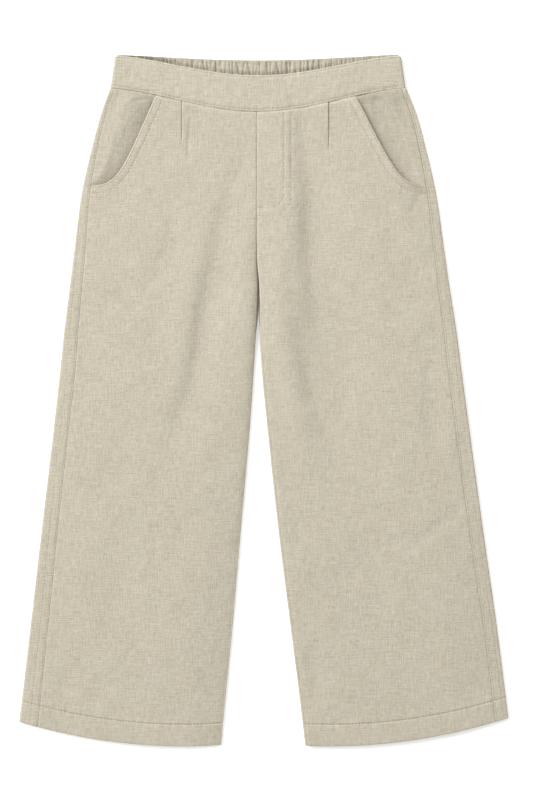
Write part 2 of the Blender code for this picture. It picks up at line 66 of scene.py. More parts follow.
# down, outer edge right and left, seam's inset right and left, inner edge right and left
stations = np.array([
    (30, 132.9, 132.9, 4.5, 4.5, 1.0, -1.0), (51, 140.4, 141.5, 5.0, 5.0, 1.0, -1.0),
    (87, 150.3, 151.6, 5.7, 6.0, 1.0, -1.0), (123, 158.4, 159.8, 7.5, 7.8, 1.0, -1.0),
    (177, 165.6, 167.8, 10.3, 9.5, 0.9, -0.9), (190, 167.2, 169.7, 10.7, 9.9, 0.7, -0.6),
    (204, 168.9, 171.6, 11.1, 10.3, 0.1, 0.7), (222, 171.2, 174.4, 11.8, 10.8, 0.5, 1.4),
    (249, 174.6, 178.6, 12.9, 11.5, 1.6, 1.3), (285, 178.3, 183.3, 13.8, 12.2, 3.7, 3.3),
    (339, 184.3, 190.5, 13.9, 12.5, 7.5, 8.5), (429, 195.0, 202.7, 14.8, 12.5, 15.4, 18.2),
    (519, 205.4, 215.5, 16.3, 12.0, 23.2, 29.5), (601, 215.1, 225.8, 17.3, 12.0, 31.3, 39.8),
    (624, 217.8, 228.6, 17.5, 12.0, 33.4, 42.4),
])


def smooth(share):  # 0 at 0, 1 at 1, an even S between
    share = np.clip(share, 0.0, 1.0)
    return share * share * (3 - 2 * share)


def groove(distance, width):  # a bell, 1 at no distance
    return np.exp(-((distance / width) ** 2))


def through(column, down):  # a smooth curve through one column of the stations, with each row's slope kept
    rows, values = stations[:, 0], stations[:, column]
    slopes = np.gradient(values, rows)
    down = np.clip(down, rows[0], rows[-1])
    low = np.clip(np.searchsorted(rows, down) - 1, 0, len(rows) - 2)
    span = rows[low + 1] - rows[low]
    t = (down - rows[low]) / span
    start = values[low] * (1 + 2 * t) * (1 - t) ** 2 + slopes[low] * span * t * (1 - t) ** 2
    end = values[low + 1] * t * t * (3 - 2 * t) - slopes[low + 1] * span * t * t * (1 - t)
    return start + end


def outerEdge(side, down):
    return through(1 + side["which"], down)


def seamInset(side, down):
    return through(3 + side["which"], down)


def sideSeam(side, down):
    return outerEdge(side, down) - seamInset(side, down)


def innerEdge(side, down):
    return through(5 + side["which"], down)


def backInner(side, down):  # the centre back seam lies beside the centre front's until the legs part
    parted = smooth((down - garment["backFork"] + 15) / 30.0)
    return innerEdge(side, down) * parted + side["sign"] * garment["backSeamShift"] * (1 - parted)


def waistDip(across):  # a squared cosine, 1 at the centre and 0 past the sides
    return np.cos(math.pi * across / (2 * garment["dipSpan"])) ** 2


def frontTop(across):
    return garment["frontTopDip"] * waistDip(across)


def frontSeam(across):
    return garment["seamDown"] + garment["frontSeamDip"] * waistDip(across)


def backTop(across):
    return garment["backTopDip"] * waistDip(across) ** 0.7


def backSeam(across):
    return garment["seamDown"] + garment["backSeamDip"] * waistDip(across)


def hemLine(across):
    return garment["hemLowest"] - (across - garment["hemLowestAcross"]) ** 2 / (2 * garment["hemRadius"])


def aboveHemRow(across, down):  # distance above the hem's row of stitches
    return hemLine(across) - down - garment["hemDepth"]


def inHem(across, down):  # 1 in the turned-up hem, 0 above it
    return smooth(0.5 - aboveHemRow(across, down) / 1.5)


def pocketMouth(side, t):  # a cubic from the waist seam to the side seam: a slant, then a round corner
    topAcross, bottomDown = side["mouthTop"], garment["mouthBottom"]
    top = np.array([topAcross, frontSeam(topAcross)])
    bottom = np.array([sideSeam(side, bottomDown), bottomDown])
    corner = np.array([top[0] + side["mouthLean"] * (bottom[1] - top[1]), bottom[1]])
    ends = zip((top, bottom), garment["mouthHandles"])
    first, second = (end + handle * (corner - end) for end, handle in ends)
    t = np.asarray(t, float)[..., None]
    point = (1 - t) ** 3 * top + t**3 * bottom + 3 * t * (1 - t) * ((1 - t) * first + t * second)
    return point[..., 0], point[..., 1]


def lineDistance(points, across, down):  # least distance to a chain of points, and the share of its length
    points = np.asarray(points, float)
    steps = np.diff(points, axis=0)
    lengths = np.hypot(steps[:, 0], steps[:, 1])
    starts = np.concatenate([[0.0], np.cumsum(lengths)])
    best, share = np.full(across.shape, 1e9), np.zeros(across.shape)
    for point, step, length, start in zip(points, steps, lengths, starts):
        t = np.clip(((across - point[0]) * step[0] + (down - point[1]) * step[1]) / length**2, 0, 1)
        gap = np.hypot(across - point[0] - t * step[0], down - point[1] - t * step[1])
        nearer = gap < best
        best = np.where(nearer, gap, best)
        share = np.where(nearer, (start + t * length) / starts[-1], share)
    return best, share


def mouthDistance(side, across, down):
    return lineDistance(np.stack(pocketMouth(side, np.linspace(0, 1, 40)), axis=1), across, down)[0]


def rounded(points):  # corners of a chain cut twice, so that a crease along it bends softly
    points = np.asarray(points, float)
    for _ in range(2):
        first, second = 0.75 * points[:-1] + 0.25 * points[1:], 0.25 * points[:-1] + 0.75 * points[1:]
        inside = np.stack([first, second], axis=1).reshape(-1, 2)
        points = np.concatenate([points[:1], inside, points[-1:]])
    return points


def creaseHeight(table, across, down):
    # each crease: rise x bell of its distance, fading to both ends; a fourth value is the outer side's reach
    height = np.zeros(across.shape)
    for points, rise, *reaches in table:
        chain, reach = rounded(points), max(reaches)
        near = np.abs(across - chain[:, 0].mean()) < np.ptp(chain[:, 0]) / 2 + 3 * reach
        near &= np.abs(down - chain[:, 1].mean()) < np.ptp(chain[:, 1]) / 2 + 3 * reach
        if not near.any():
            continue
        gap, share = lineDistance(chain, across[near], down[near])
        outside = across[near] > np.interp(down[near], chain[:, 1], chain[:, 0])
        reach = np.where(outside, reaches[-1], reaches[0])
        height[near] += rise * groove(gap, reach) * smooth(share / 0.35) * smooth((1 - share) / 0.35)
    return height


def crumple(across, down, seed, shortest=9.0, longest=60.0, count=64):
    # a sum of seeded waves between two lengths, the longer the taller, most of them running down the leg
    dice = np.random.default_rng(seed)
    lengths = shortest * (longest / shortest) ** dice.random(count)
    turns = dice.normal(0.0, 0.75, count)
    phases = dice.random(count) * 2 * math.pi
    total = np.zeros(across.shape)
    for length, turn, phase in zip(lengths, turns, phases):
        step = 2 * math.pi / length
        total += length / longest * np.sin(step * (across * math.cos(turn) + down * math.sin(turn)) + phase)
    return total / math.sqrt((lengths**2).sum() / longest**2 / 2)


def along(stops):  # distances from stop to stop, each stretch at its own pitch: (place, pitch to the next)
    pairs = zip(stops, stops[1:])
    parts = [np.linspace(a, b, max(2, round((b - a) / pitch) + 1))[:-1] for (a, pitch), (b, _) in pairs]
    return np.concatenate(parts + [[stops[-1][0]]])


def between(count):  # even shares of a stretch, without its ends
    return np.linspace(0, 1, count + 2)[None, 1:-1]


def sideBySide(*parts):
    return np.concatenate(parts, axis=1)


def bent(curve, across, start, end, share):  # how far a curve lies below its own chord from start to end
    return curve(across) - curve(start) - (curve(end) - curve(start)) * share


# ---- creases of the cloth: points (across, down), rise, reach
creases = {}
creases["Right"] = [
    ([(8, 40), (9, 70), (10, 96), (18, 108), (25, 132), (30, 150), (38, 181), (43, 204), (46, 222),
      (50, 244), (51, 262), (55, 280), (58, 298), (65, 314), (72, 334), (77, 356), (82, 380),
      (86, 405)], -1.7, 22.0, 9.5),
    ([(37, 140), (43, 165), (51, 190), (58, 215), (63, 244), (64, 265), (68, 285), (73, 305),
      (84, 330)], 0.9, 8.5, 17.0),
    ([(44, 190), (50, 222), (53, 250), (55, 280), (60, 305)], -0.3, 16.0, 7.0),
    ([(1, 60), (2, 110), (3, 170), (6, 225), (9, 280), (12, 330)], 1.3, 6.0, 26.0),
    ([(61, 52), (61.6, 64), (62.8, 84), (64.6, 106)], -0.85, 1.3, 1.0),
    ([(78, 108), (78.5, 140), (79, 168), (86, 188), (97, 206), (110, 232)], -0.6, 13.0, 6.5),
    ([(107, 98), (96, 101), (82, 108)], -0.16, 2.2), ([(92, 368), (92, 385), (90, 402)], -0.35, 5.0, 3.5),
    ([(93, 420), (93, 440), (92, 462)], -0.25, 2.5), ([(84, 283), (100, 287), (118, 290)], 0.35, 7.0),
    ([(155, 388), (162, 392), (170, 399)], -0.35, 4.0), ([(158, 526), (151, 534), (144, 540)], -0.3, 4.0),
    ([(104, 524), (114, 539), (128, 556)], -0.28, 3.2), ([(118, 522), (128, 536), (140, 546)], -0.2, 3.2),
    ([(50, 498), (60, 504), (76, 514)], -0.22, 2.8), ([(60, 486), (72, 494), (88, 500)], 0.2, 4.0),
    ([(141, 560), (145, 578), (147, 596)], -0.35, 5.0), ([(118, 400), (128, 480), (150, 560)], -0.5, 17.0),
    ([(60, 430), (70, 510), (78, 580)], 0.45, 16.0), ([(150, 200), (158, 260), (162, 330)], -0.4, 9.0),
    ([(52, 330), (46, 372), (50, 410)], 0.35, 9.0), ([(150, 372), (128, 384), (112, 396)], -0.3, 6.0),
    ([(100, 455), (84, 470), (72, 492)], -0.3, 7.0), ([(170, 450), (160, 470), (146, 478)], 0.3, 7.0),
    ([(190, 520), (176, 560), (172, 600)], -0.35, 9.0),
]
creases["Left"] = [
    ([(33, 10), (35, 34), (37, 50), (39, 66), (42, 84), (46, 102), (48, 118), (48, 136), (48, 154),
      (48.5, 172), (51, 190), (54.5, 208), (58.5, 222), (63, 240), (69, 262), (75, 290), (79, 315),
      (83, 345), (88, 372)], -2.1, 9.5, 30.0),
    ([(14, 60), (21, 92), (28, 118), (30, 145), (29, 170), (30, 192), (33, 216), (36, 245), (41, 275),
      (48, 305)], 2.3, 22.0, 13.0),
    ([(35, 20), (37.5, 40), (39, 58), (41, 80), (44, 98), (47, 116)], -0.5, 4.0, 7.0),
    ([(32, 140), (33, 160), (33, 178), (32, 200), (35, 222), (39, 240), (44, 262), (48, 285), (51, 303),
      (56, 321), (64, 339), (73, 357), (84, 372), (96, 386), (110, 402), (124, 420)], -2.2, 11.0, 26.0),
    ([(49, 205), (57, 236), (63, 262), (68, 290), (73, 320)], -0.6, 9.0, 16.0),
    ([(14, 190), (16, 222), (19, 245), (23, 268), (27, 290), (31, 315), (36, 340), (44, 365),
      (54, 390)], 1.7, 11.0, 15.0),
    ([(60, 246), (82, 248), (106, 249)], 0.28, 3.0),
    ([(180, 318), (186, 352), (190, 384), (197, 424)], -0.7, 8.0, 5.0),
    ([(192, 396), (178, 411), (166, 422), (146, 438), (126, 453)], -0.5, 6.0),
    ([(150, 232), (153, 270), (155, 305), (155, 345), (151, 385)], -0.75, 6.5, 13.0),
    ([(151, 306), (150, 320), (150, 336)], -0.3, 3.0), ([(142, 342), (143, 360), (144, 384)], -0.3, 3.0),
    ([(31, 402), (34, 416), (38, 432)], -0.25, 2.6), ([(37, 430), (36, 440), (33, 452)], -0.25, 2.6),
    ([(62, 466), (78, 472), (96, 480)], -0.45, 7.0), ([(76, 447), (92, 450), (108, 457)], -0.3, 5.5),
    ([(48, 528), (52, 556), (54, 588)], -0.4, 5.0), ([(84, 570), (86, 585), (84, 600)], -0.3, 5.0),
    ([(148, 122), (143, 134), (135, 148)], -0.5, 3.2), ([(131, 148), (124, 156), (112, 165)], -0.28, 2.4),
    ([(82, 82), (88, 92), (86, 108)], -0.25, 2.6), ([(142, 246), (144, 262), (146, 284)], -0.3, 5.0),
    ([(96, 410), (100, 500), (118, 590)], -0.6, 18.0), ([(158, 430), (170, 510), (180, 590)], 0.4, 16.0),
    ([(120, 150), (104, 166), (96, 190)], 0.25, 7.0), ([(110, 230), (126, 240), (142, 238)], -0.25, 7.0),
    ([(90, 420), (120, 432), (150, 424)], 0.35, 8.0), ([(70, 520), (92, 536), (120, 532)], 0.3, 8.0),
    ([(176, 560), (190, 572), (208, 580)], -0.35, 7.0), ([(120, 500), (134, 520), (140, 548)], -0.3, 8.0),
]
creases["pocketRight"] = [
    ([(104, 36), (116, 43), (124, 52)], 0.35, 3.0), ([(128, 58), (123, 68), (124, 82)], 0.45, 4.0, 3.0),
    ([(125, 28), (127, 40), (128, 56)], -0.55, 3.5), ([(92, 40), (103, 41.5), (116, 43)], -0.7, 1.6),
    ([(98, 50), (106, 62), (110, 76)], -0.4, 4.0),
]
creases["pocketLeft"] = [
    ([(104, 24), (105, 40), (106, 52), (112, 72)], -0.9, 3.2, 9.0),
    ([(109, 42), (120, 66), (129, 88), (138, 106), (146, 122)], -1.5, 7.5, 16.0),
    ([(124, 34), (129, 48), (131, 66)], -0.35, 4.0),
]
creases["hiddenRight"] = [
    ([(60, 60), (66, 150), (58, 260)], 0.8, 8.0), ([(110, 50), (120, 130), (116, 220)], 0.6, 7.0),
    ([(30, 250), (52, 300), (90, 330)], 0.7, 8.0), ([(100, 330), (112, 420), (108, 520)], 0.6, 10.0),
    ([(60, 420), (76, 500), (80, 580)], 0.5, 9.0), ([(160, 300), (150, 380), (158, 470)], 0.5, 9.0),
]
creases["hiddenLeft"] = [
    ([(46, 56), (52, 140), (66, 230)], 0.7, 8.0), ([(98, 52), (92, 140), (104, 240)], 0.7, 8.0),
    ([(26, 240), (46, 290), (78, 310)], 0.7, 8.0), ([(90, 340), (98, 430), (118, 510)], 0.6, 10.0),
    ([(140, 200), (150, 290), (144, 380)], 0.5, 8.0), ([(160, 430), (164, 500), (176, 580)], 0.5, 10.0),
]

surface = dict(  # two values in brackets: the right leg's and the left leg's, or one for each row of stitches
    crumple=0.07, fineCrumple=0.03, crumpleSeeds=(11, 23),
    seamDitch=0.42, seamWidth=0.8, waistDitch=0.2, waistWidth=0.9, sideDitch=0.2, sideFurrow=0.1,
    furrow=0.32, flyFurrow=0.45, mouthFurrow=0.2, furrowWidth=0.7,
    hemRise=0.2, hemPucker=0.1, hemFurrow=0.38, hemFurrowWidth=0.55,
    pleatRise=0.9, pleatDepth=13.0, pleatSlit=0.8, pleatSlitWidth=0.42,
    roll=((1.5, 250.0, 260.0, 36.0), (1.7, 330.0, 220.0, 52.0)),  # fall, start, run, reach
    outerDrop=(0.9, 0.5), outerRun=(14.0, 9.0), innerDrop=(2.3, 0.3), innerRun=(4.2, 2.0), innerLowest=2.45,
    innerDitch=(0.0, 0.45), hipFall=(0.0, 1.5), mouthRise=0.3, mouthLift=(0.3, 2.2), mouthLiftRun=6.0,
    sideRows=(1.6, 7.6), sideRowTops=(0.0, 150.0), mouthRows=(1.3, 6.7),
)
fly = dict(
    centre=-1.0, width=31.0, bottom=148.0, rise=0.3, straightPoints=40,
    rows=((30.4, 146.6, 17.0), (24.0, 139.0, 13.0)),  # reach, bottom and corner of each row of stitches
)


def edgeAngle(distance):  # angle on the rounded top of an edge, 0 outermost
    return np.arccos(np.clip(1 - distance / garment["topRounding"], 0.0, 1.0))


def overEdge(height, angle):  # height eased down the rounded top of an edge
    return garment["edgeMiddle"] + (height - garment["edgeMiddle"]) * np.sin(angle)


def onEdge(side, across, down, height):  # the same for the leg's outer edge
    return overEdge(height, edgeAngle(outerEdge(side, down) - across))


def waistDitch(across, down):
    return surface["waistDitch"] * groove(down - frontSeam(across), surface["waistWidth"])


def bodyHeight(side, across, down):
    # laid height + a rise to the waist seam + creases + crumple, less the soft roll of one edge, the falls to
    # the outer edge, the hip and the inner edge, and the ditch and furrows of the side seam
    which, belowSeam = side["which"], down - frontSeam(across)
    height = garment["laidTop"] + (garment["seamTop"] - garment["laidTop"]) * (1 - smooth(belowSeam / 45.0))
    clear = smooth(belowSeam / 15.0)
    height += creaseHeight(creases[side["name"]], across, down) * clear
    fromInner, fromOuter = across - innerEdge(side, down), outerEdge(side, down) - across
    fall, start, run, reach = surface["roll"][which]
    height -= fall * smooth((down - start) / run) * (1 - smooth((fromInner, fromOuter)[which] / reach))
    outer = np.exp(-np.maximum(fromOuter, 0) / surface["outerRun"][which])
    hip = smooth((across - 90 - 0.25 * down) / 40) * (1 - smooth((down - 150) / 90))
    height -= (surface["outerDrop"][which] * outer + surface["hipFall"][which] * hip) * clear
    seed = surface["crumpleSeeds"][which]
    height += surface["crumple"] * crumple(across, down, seed) * smooth(belowSeam / 30 + 0.3)
    height += surface["fineCrumple"] * crumple(across, down, seed + 5, 4.0, 11.0)
    spare = height - garment["lowestTop"]
    height = garment["lowestTop"] + 0.5 * (spare + np.sqrt(spare**2 + 0.3))  # softly kept above the lowest
    inner = surface["innerDrop"][which] * np.exp(-np.maximum(fromInner, 0) / surface["innerRun"][which])
    inner *= smooth((down - 120) / 80) * (1 - 0.3 * smooth((down - 330) / 160))
    height = np.maximum(height - inner, np.minimum(height, surface["innerLowest"]))
    height -= surface["innerDitch"][which] * groove(fromInner - 2.4, 1.6) * smooth((down - 215) / 40)
    fromSeam = sideSeam(side, down) - across
    height -= surface["sideDitch"] * groove(fromSeam, surface["seamWidth"])
    for row, top in zip(surface["sideRows"], surface["sideRowTops"]):
        furrow = groove(fromSeam + row, surface["furrowWidth"]) * smooth((down - top) / 15 + 0.5)
        height -= surface["sideFurrow"] * furrow
    return height


def hemRelief(across, down):  # the turned-up hem stands proud, its row of stitches puckers the cloth
    fromRow = aboveHemRow(across, down)
    pucker = crumple(across, down * 0.4, 41, 4.5, 12.0, 24) * groove(fromRow, 6.0)
    furrow = surface["hemFurrow"] * groove(fromRow, surface["hemFurrowWidth"])
    return surface["hemRise"] * smooth(0.5 - fromRow / 12.0) + surface["hemPucker"] * pucker - furrow


def pleatRelief(side, across, down):  # a step at the pleat's folded edge with a slit outside it
    inward, above = side["pleatAcross"] - across, side["pleatBottom"] - down
    step = smooth((inward + 0.3) / 0.6) * groove(np.maximum(inward, 0), surface["pleatDepth"])
    slit = groove(inward + 0.55, surface["pleatSlitWidth"])
    rise, depth = surface["pleatRise"] * smooth(above / 30.0), surface["pleatSlit"] * smooth(above / 9.0)
    return rise * step - depth * slit


def flyPath(row):  # down beside the fly, round its corner and back to the centre seam, as across and down
    reach, bottom, corner = row
    start, points = fly["centre"] + reach, fly["straightPoints"]
    turn = np.linspace(0, math.pi / 2, 16)[1:]
    last = np.linspace(start - corner, fly["centre"] + 0.8, 8)[1:]
    across = [np.full(points, start), start - corner * (1 - np.cos(turn)), last]
    straight = np.linspace(frontSeam(start) + 1.0, bottom - corner, points)
    down = [straight, bottom - corner * (1 - np.sin(turn)), bottom - 0.08 * (start - corner - last)]
    return np.concatenate(across), np.concatenate(down)


def frontCurl(down):  # 0 above the fork, 1 where the leg's inner edge is rounded down to its seam
    return smooth((down - garment["frontFork"]) / garment["forkRun"])


def frontHeight(side, across, down):
    # body + hem + pleat, lifted along the pocket's mouth and on the fly, less the furrows of their stitches
    # and the ditches of the centre and waist seams, and rounded off at the leg's inner edge
    height = bodyHeight(side, across, down) + hemRelief(across, down) + pleatRelief(side, across, down)
    fromMouth = mouthDistance(side, across, down)
    lift = surface["mouthLift"][side["which"]] * smooth((down - frontSeam(across)) / 16 + 0.15)
    lift *= smooth((sideSeam(side, down) - across) / 12)
    height += (surface["mouthRise"] + lift) * np.exp(-fromMouth / surface["mouthLiftRun"])
    for row in surface["mouthRows"]:
        height -= surface["mouthFurrow"] * groove(fromMouth - row, surface["furrowWidth"])
    if side is leftSide:
        for row in fly["rows"]:
            fromRow = lineDistance(np.stack(flyPath(row), axis=1), across, down)[0]
            height -= surface["flyFurrow"] * groove(fromRow, surface["furrowWidth"])
        inside = smooth((fly["centre"] + fly["width"] - across) / 2.0) * smooth((fly["bottom"] - down) / 2.0)
        height += fly["rise"] * inside
    curl = frontCurl(down)
    fromInner = np.maximum(across - innerEdge(side, down) - garment["halfGap"], 0.0)
    height -= surface["seamDitch"] * groove(fromInner, surface["seamWidth"]) * (1 - curl)
    height -= waistDitch(across, down)
    spare = height - garment["edgeMiddle"] - garment["halfGap"]
    return height - spare * (1 - np.sin(edgeAngle(fromInner))) * curl


def toWorld(sign, across, down, height):
    x, y = sign * across - garment["middleAcross"], garment["middleDown"] - down
    return np.stack([x, y, np.broadcast_to(height, across.shape)], axis=-1) * mm


def plainUv(across, down, start):  # flat in real size, each piece on a stretch of the weave of its own
    return np.stack([across + start, down], axis=-1) * mm


def unit(vectors):
    return vectors / np.maximum(np.linalg.norm(vectors, axis=-1, keepdims=True), 1e-9)


def makeMesh(name, points, faces, uv, material):
    mesh = bpy.data.meshes.new(name)
    mesh.from_pydata(points.tolist(), [], faces)
    layer = mesh.uv_layers.new(name="cloth")
    corners = np.empty(len(mesh.loops), np.int32)
    mesh.loops.foreach_get("vertex_index", corners)
    layer.data.foreach_set("uv", uv[corners].astype(np.float32).ravel())
    mesh.shade_smooth()
    mesh.materials.append(material)
    mesh.update()
    piece = bpy.data.objects.new(name, mesh)
    bpy.context.scene.collection.objects.link(piece)
    return piece


def insideOut(corners):  # true for a shell or tube of quads whose volume is negative
    second = np.cross(corners[:, 1], corners[:, 2]) + np.cross(corners[:, 2], corners[:, 3])
    return np.einsum("ij,ij->", corners[:, 0], second) < 0


def makeCloth(name, replaced, outer, inner, uv, bulge, material):
    # two grids of points a wall apart, closed by a rim that bulges outwards between them; the piece and its
    # outer grid's area are given back
    rows, columns = outer.shape[:2]
    index = np.arange(rows * columns).reshape(rows, columns)
    quads = np.stack([index[:-1, :-1], index[:-1, 1:], index[1:, 1:], index[1:, :-1]], axis=-1).reshape(-1, 4)
    loop = np.concatenate([index[0], index[1:, -1], index[-1, -2::-1], index[-2:0:-1, 0]])
    inward = np.concatenate([index[1], index[1:, -2], index[-2, -2::-1], index[-2:0:-1, 1]])
    inward[[columns - 1, columns + rows - 2]] = index[1, -2], index[-2, -2]
    flatOuter, flatInner = outer.reshape(-1, 3), inner.reshape(-1, 3)
    away = unit(flatOuter[loop] - flatOuter[inward]) * (bulge.ravel()[loop] * mm)[:, None]
    ring = (flatOuter[loop] + flatInner[loop]) / 2 + away
    total, count = rows * columns, len(loop)
    ringIndex = 2 * total + np.arange(count)
    after, ringAfter = np.roll(loop, -1), np.roll(ringIndex, -1)
    rim = np.concatenate([
        np.stack([after, loop, ringIndex, ringAfter], axis=1),
        np.stack([ringAfter, ringIndex, loop + total, after + total], axis=1),
    ])
    faces = np.concatenate([quads, quads[:, ::-1] + total, rim])
    points = np.concatenate([flatOuter, flatInner, ring])
    if insideOut(points[faces]):
        faces = faces[:, ::-1]
    flatUv = uv.reshape(-1, 2)
    onward = unit(flatUv[loop] - flatUv[inward])
    ringUv = flatUv[loop] + onward * np.linalg.norm(ring - flatOuter[loop], axis=1, keepdims=True)
    piece = makeMesh(name, points, faces.tolist(), np.concatenate([flatUv, flatUv, ringUv]), material)
    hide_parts(replaced)
    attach(piece, "root")
    return piece, clothArea(outer)


def clothArea(grid):  # both triangles of every quad
    first = np.cross(grid[:-1, 1:] - grid[:-1, :-1], grid[1:, 1:] - grid[:-1, :-1])
    second = np.cross(grid[1:, 1:] - grid[:-1, :-1], grid[1:, :-1] - grid[:-1, :-1])
    return float((np.linalg.norm(first, axis=-1) + np.linalg.norm(second, axis=-1)).sum() / 2)


# ---- materials
linenLook = dict(
    base=(0.453, 0.419, 0.336), light=(0.524, 0.490, 0.404), dark=(0.372, 0.338, 0.260), contrast=2.73,
    roughness=0.92, sheen=0.04, sheenRoughness=0.6, specular=0.25, threadPitch=0.00062, bump=0.00020,
    warp=(0.0011, 0.015), weft=(0.0010, 0.018), short=(0.0008, 0.005),  # width and length of the streaks
    speck=(0.0014, 0.0034), cloud=(0.03, 0.05),
)
# thread colour: the thread's own tone plus painted shade of the stitch holes, so each row reads as a dark
# line
threadLook = dict(colour=(0.24, 0.21, 0.152), roughness=0.7, ripple=900.0)


def shaded(look, share):  # the same cloth in light shade
    tones = {tone: tuple(share * part for part in look[tone]) for tone in ("base", "light", "dark")}
    return {**look, **tones}


def newMaterial(name, roughness):
    material = bpy.data.materials.new(name)
    material.use_nodes = True
    shader = material.node_tree.nodes["Principled BSDF"]
    shader.inputs["Roughness"].default_value = roughness
    return material, material.node_tree, shader


def node(tree, kind, inputs=(), **settings):
    made = tree.nodes.new("ShaderNode" + kind)
    for key, value in settings.items():
        setattr(made, key, value)
    for key, value in dict(inputs).items():
        if isinstance(value, bpy.types.NodeSocket):
            tree.links.new(value, made.inputs[key])
        else:
            made.inputs[key].default_value = value
    return made


def makeLinen(name, look):
    # plain weave: a product of two sines lifts warp over weft, stretched noises thicken threads both ways
    material, tree, shader = newMaterial(name, look["roughness"])
    shader.inputs["Sheen Weight"].default_value = look["sheen"]
    shader.inputs["Sheen Roughness"].default_value = look["sheenRoughness"]
    shader.inputs["Specular IOR Level"].default_value = look["specular"]
    place = node(tree, "UVMap", uv_map="cloth").outputs[0]
    wide, long = node(tree, "SeparateXYZ", {0: place}).outputs[:2]

    def calc(operation, *terms):
        return node(tree, "Math", dict(enumerate(terms)), operation=operation).outputs[0]

    def streaks(width, length, turned, shift, detail=2.0):
        size = (1 / length, 1 / width, 1) if turned else (1 / width, 1 / length, 1)
        moved = node(tree, "Mapping", {0: place, "Scale": size, "Location": (shift, shift * 0.7, 0)})
        inputs = {"Vector": moved.outputs[0], "Scale": 1.0, "Detail": detail, "Roughness": 0.6}
        return node(tree, "TexNoise", inputs, noise_dimensions="2D").outputs[0]

    slubs = calc("ADD", streaks(*look["warp"], False, 3.1), streaks(*look["weft"], True, 17.3))
    short = calc("ADD", streaks(*look["short"], False, 41.0), streaks(*look["short"], True, 57.0))
    threads = calc("ADD", slubs, short)
    clouds = calc("MULTIPLY_ADD", streaks(*look["cloud"], False, 7.0, 3.0), 0.08, -0.54)
    tone = calc("MULTIPLY_ADD", calc("MULTIPLY_ADD", threads, 0.25, clouds), look["contrast"], 0.5)
    ramp = node(tree, "ValToRGB", {0: tone})
    stops = ramp.color_ramp.elements
    stops[0].position, stops[0].color = 0.12, (*look["dark"], 1)
    stops[1].position, stops[1].color = 0.88, (*look["light"], 1)
    stops.new(0.5).color = (*look["base"], 1)
    specks = streaks(*look["speck"], False, 83.0, 0.0)
    speck = node(tree, "MapRange", {0: specks, 1: 0.88, 2: 0.93, 3: 0.0, 4: 0.8}).outputs[0]
    darker = (*[0.7 * part for part in look["dark"]], 1)
    mixed = node(tree, "Mix", {0: speck, 6: ramp.outputs[0], 7: darker}, data_type="RGBA")
    tree.links.new(mixed.outputs[2], shader.inputs["Base Color"])
    turn = math.pi / look["threadPitch"]
    over, under = (calc("SINE", calc("MULTIPLY", way, turn)) for way in (wide, long))
    relief = calc("MULTIPLY_ADD", calc("MULTIPLY", over, under), 0.22, threads)
    bump = node(tree, "Bump", {"Height": relief, "Distance": look["bump"], "Strength": 1.0})
    tree.links.new(bump.outputs[0], shader.inputs["Normal"])
    return material


def makeThread(name, look):  # sewing thread: a fine ripple in its tone
    material, tree, shader = newMaterial(name, look["roughness"])
    where = node(tree, "TexCoord").outputs["Object"]
    noise = node(tree, "TexNoise", {"Vector": where, "Scale": look["ripple"], "Detail": 2.0})
    ramp = node(tree, "ValToRGB", {0: noise.outputs[0]})
    for stop, share in zip(ramp.color_ramp.elements, (0.8, 1.2)):
        stop.color = (*[share * part for part in look["colour"]], 1)
    tree.links.new(ramp.outputs[0], shader.inputs["Base Color"])
    return material


linen = makeLinen("oatmealLinen", linenLook)
# the back band's inside: the same linen with painted shade, darker because it lies low under the front band
bandLinenPaintedShade = makeLinen("linenWithPaintedShade", shaded(linenLook, 0.93))
# the hip pieces: the same linen with painted shade, darker where they lie sunk under the pocket mouths
pocketLinenPaintedShade = makeLinen("pocketLinenPaintedShade", shaded(linenLook, 0.948))
thread = makeThread("sewingThread", threadLook)
print("materials ready")

# ---- sewing
sewing = dict(pitch=2.8, length=2.4, thickness=0.5, flatness=0.8, sides=5, proud=0.06, dive=0.28, probe=0.3)
capsuleRings = np.array([(-1.0, 0.3), (-0.72, 0.85), (0.0, 1.0), (0.72, 0.85), (1.0, 0.3)])  # along, radius
sewn = {}


def sew(key, sign, across, down, heightOf, size=1.0):
    # stitches a pitch apart along a path on a height function: centre, direction along, direction up
    run = np.concatenate([[0.0], np.cumsum(np.hypot(np.diff(across), np.diff(down)))])
    middles = np.arange(sewing["pitch"] * 0.5, run[-1], sewing["pitch"])

    def at(onward, aside=0.0, below=0.0):
        a = np.interp(middles + onward, run, across) + aside
        d = np.interp(middles + onward, run, down) + below
        return toWorld(sign, a, d, heightOf(a, d))

    middle = at(0.0)
    up = np.cross(at(0.0, aside=sewing["probe"]) - middle, at(0.0, below=sewing["probe"]) - middle)
    up = unit(up * np.sign(up[:, 2:]))
    sewn.setdefault(key, []).append((middle, unit(at(0.8) - at(-0.8)), up, np.full(len(middle), size)))


def sewHem(key, side, start, end, points, heightOf, size=1.0):
    across = np.linspace(start, end, points)
    sew(key, side["sign"], across, hemLine(across) - garment["hemDepth"], heightOf, size)


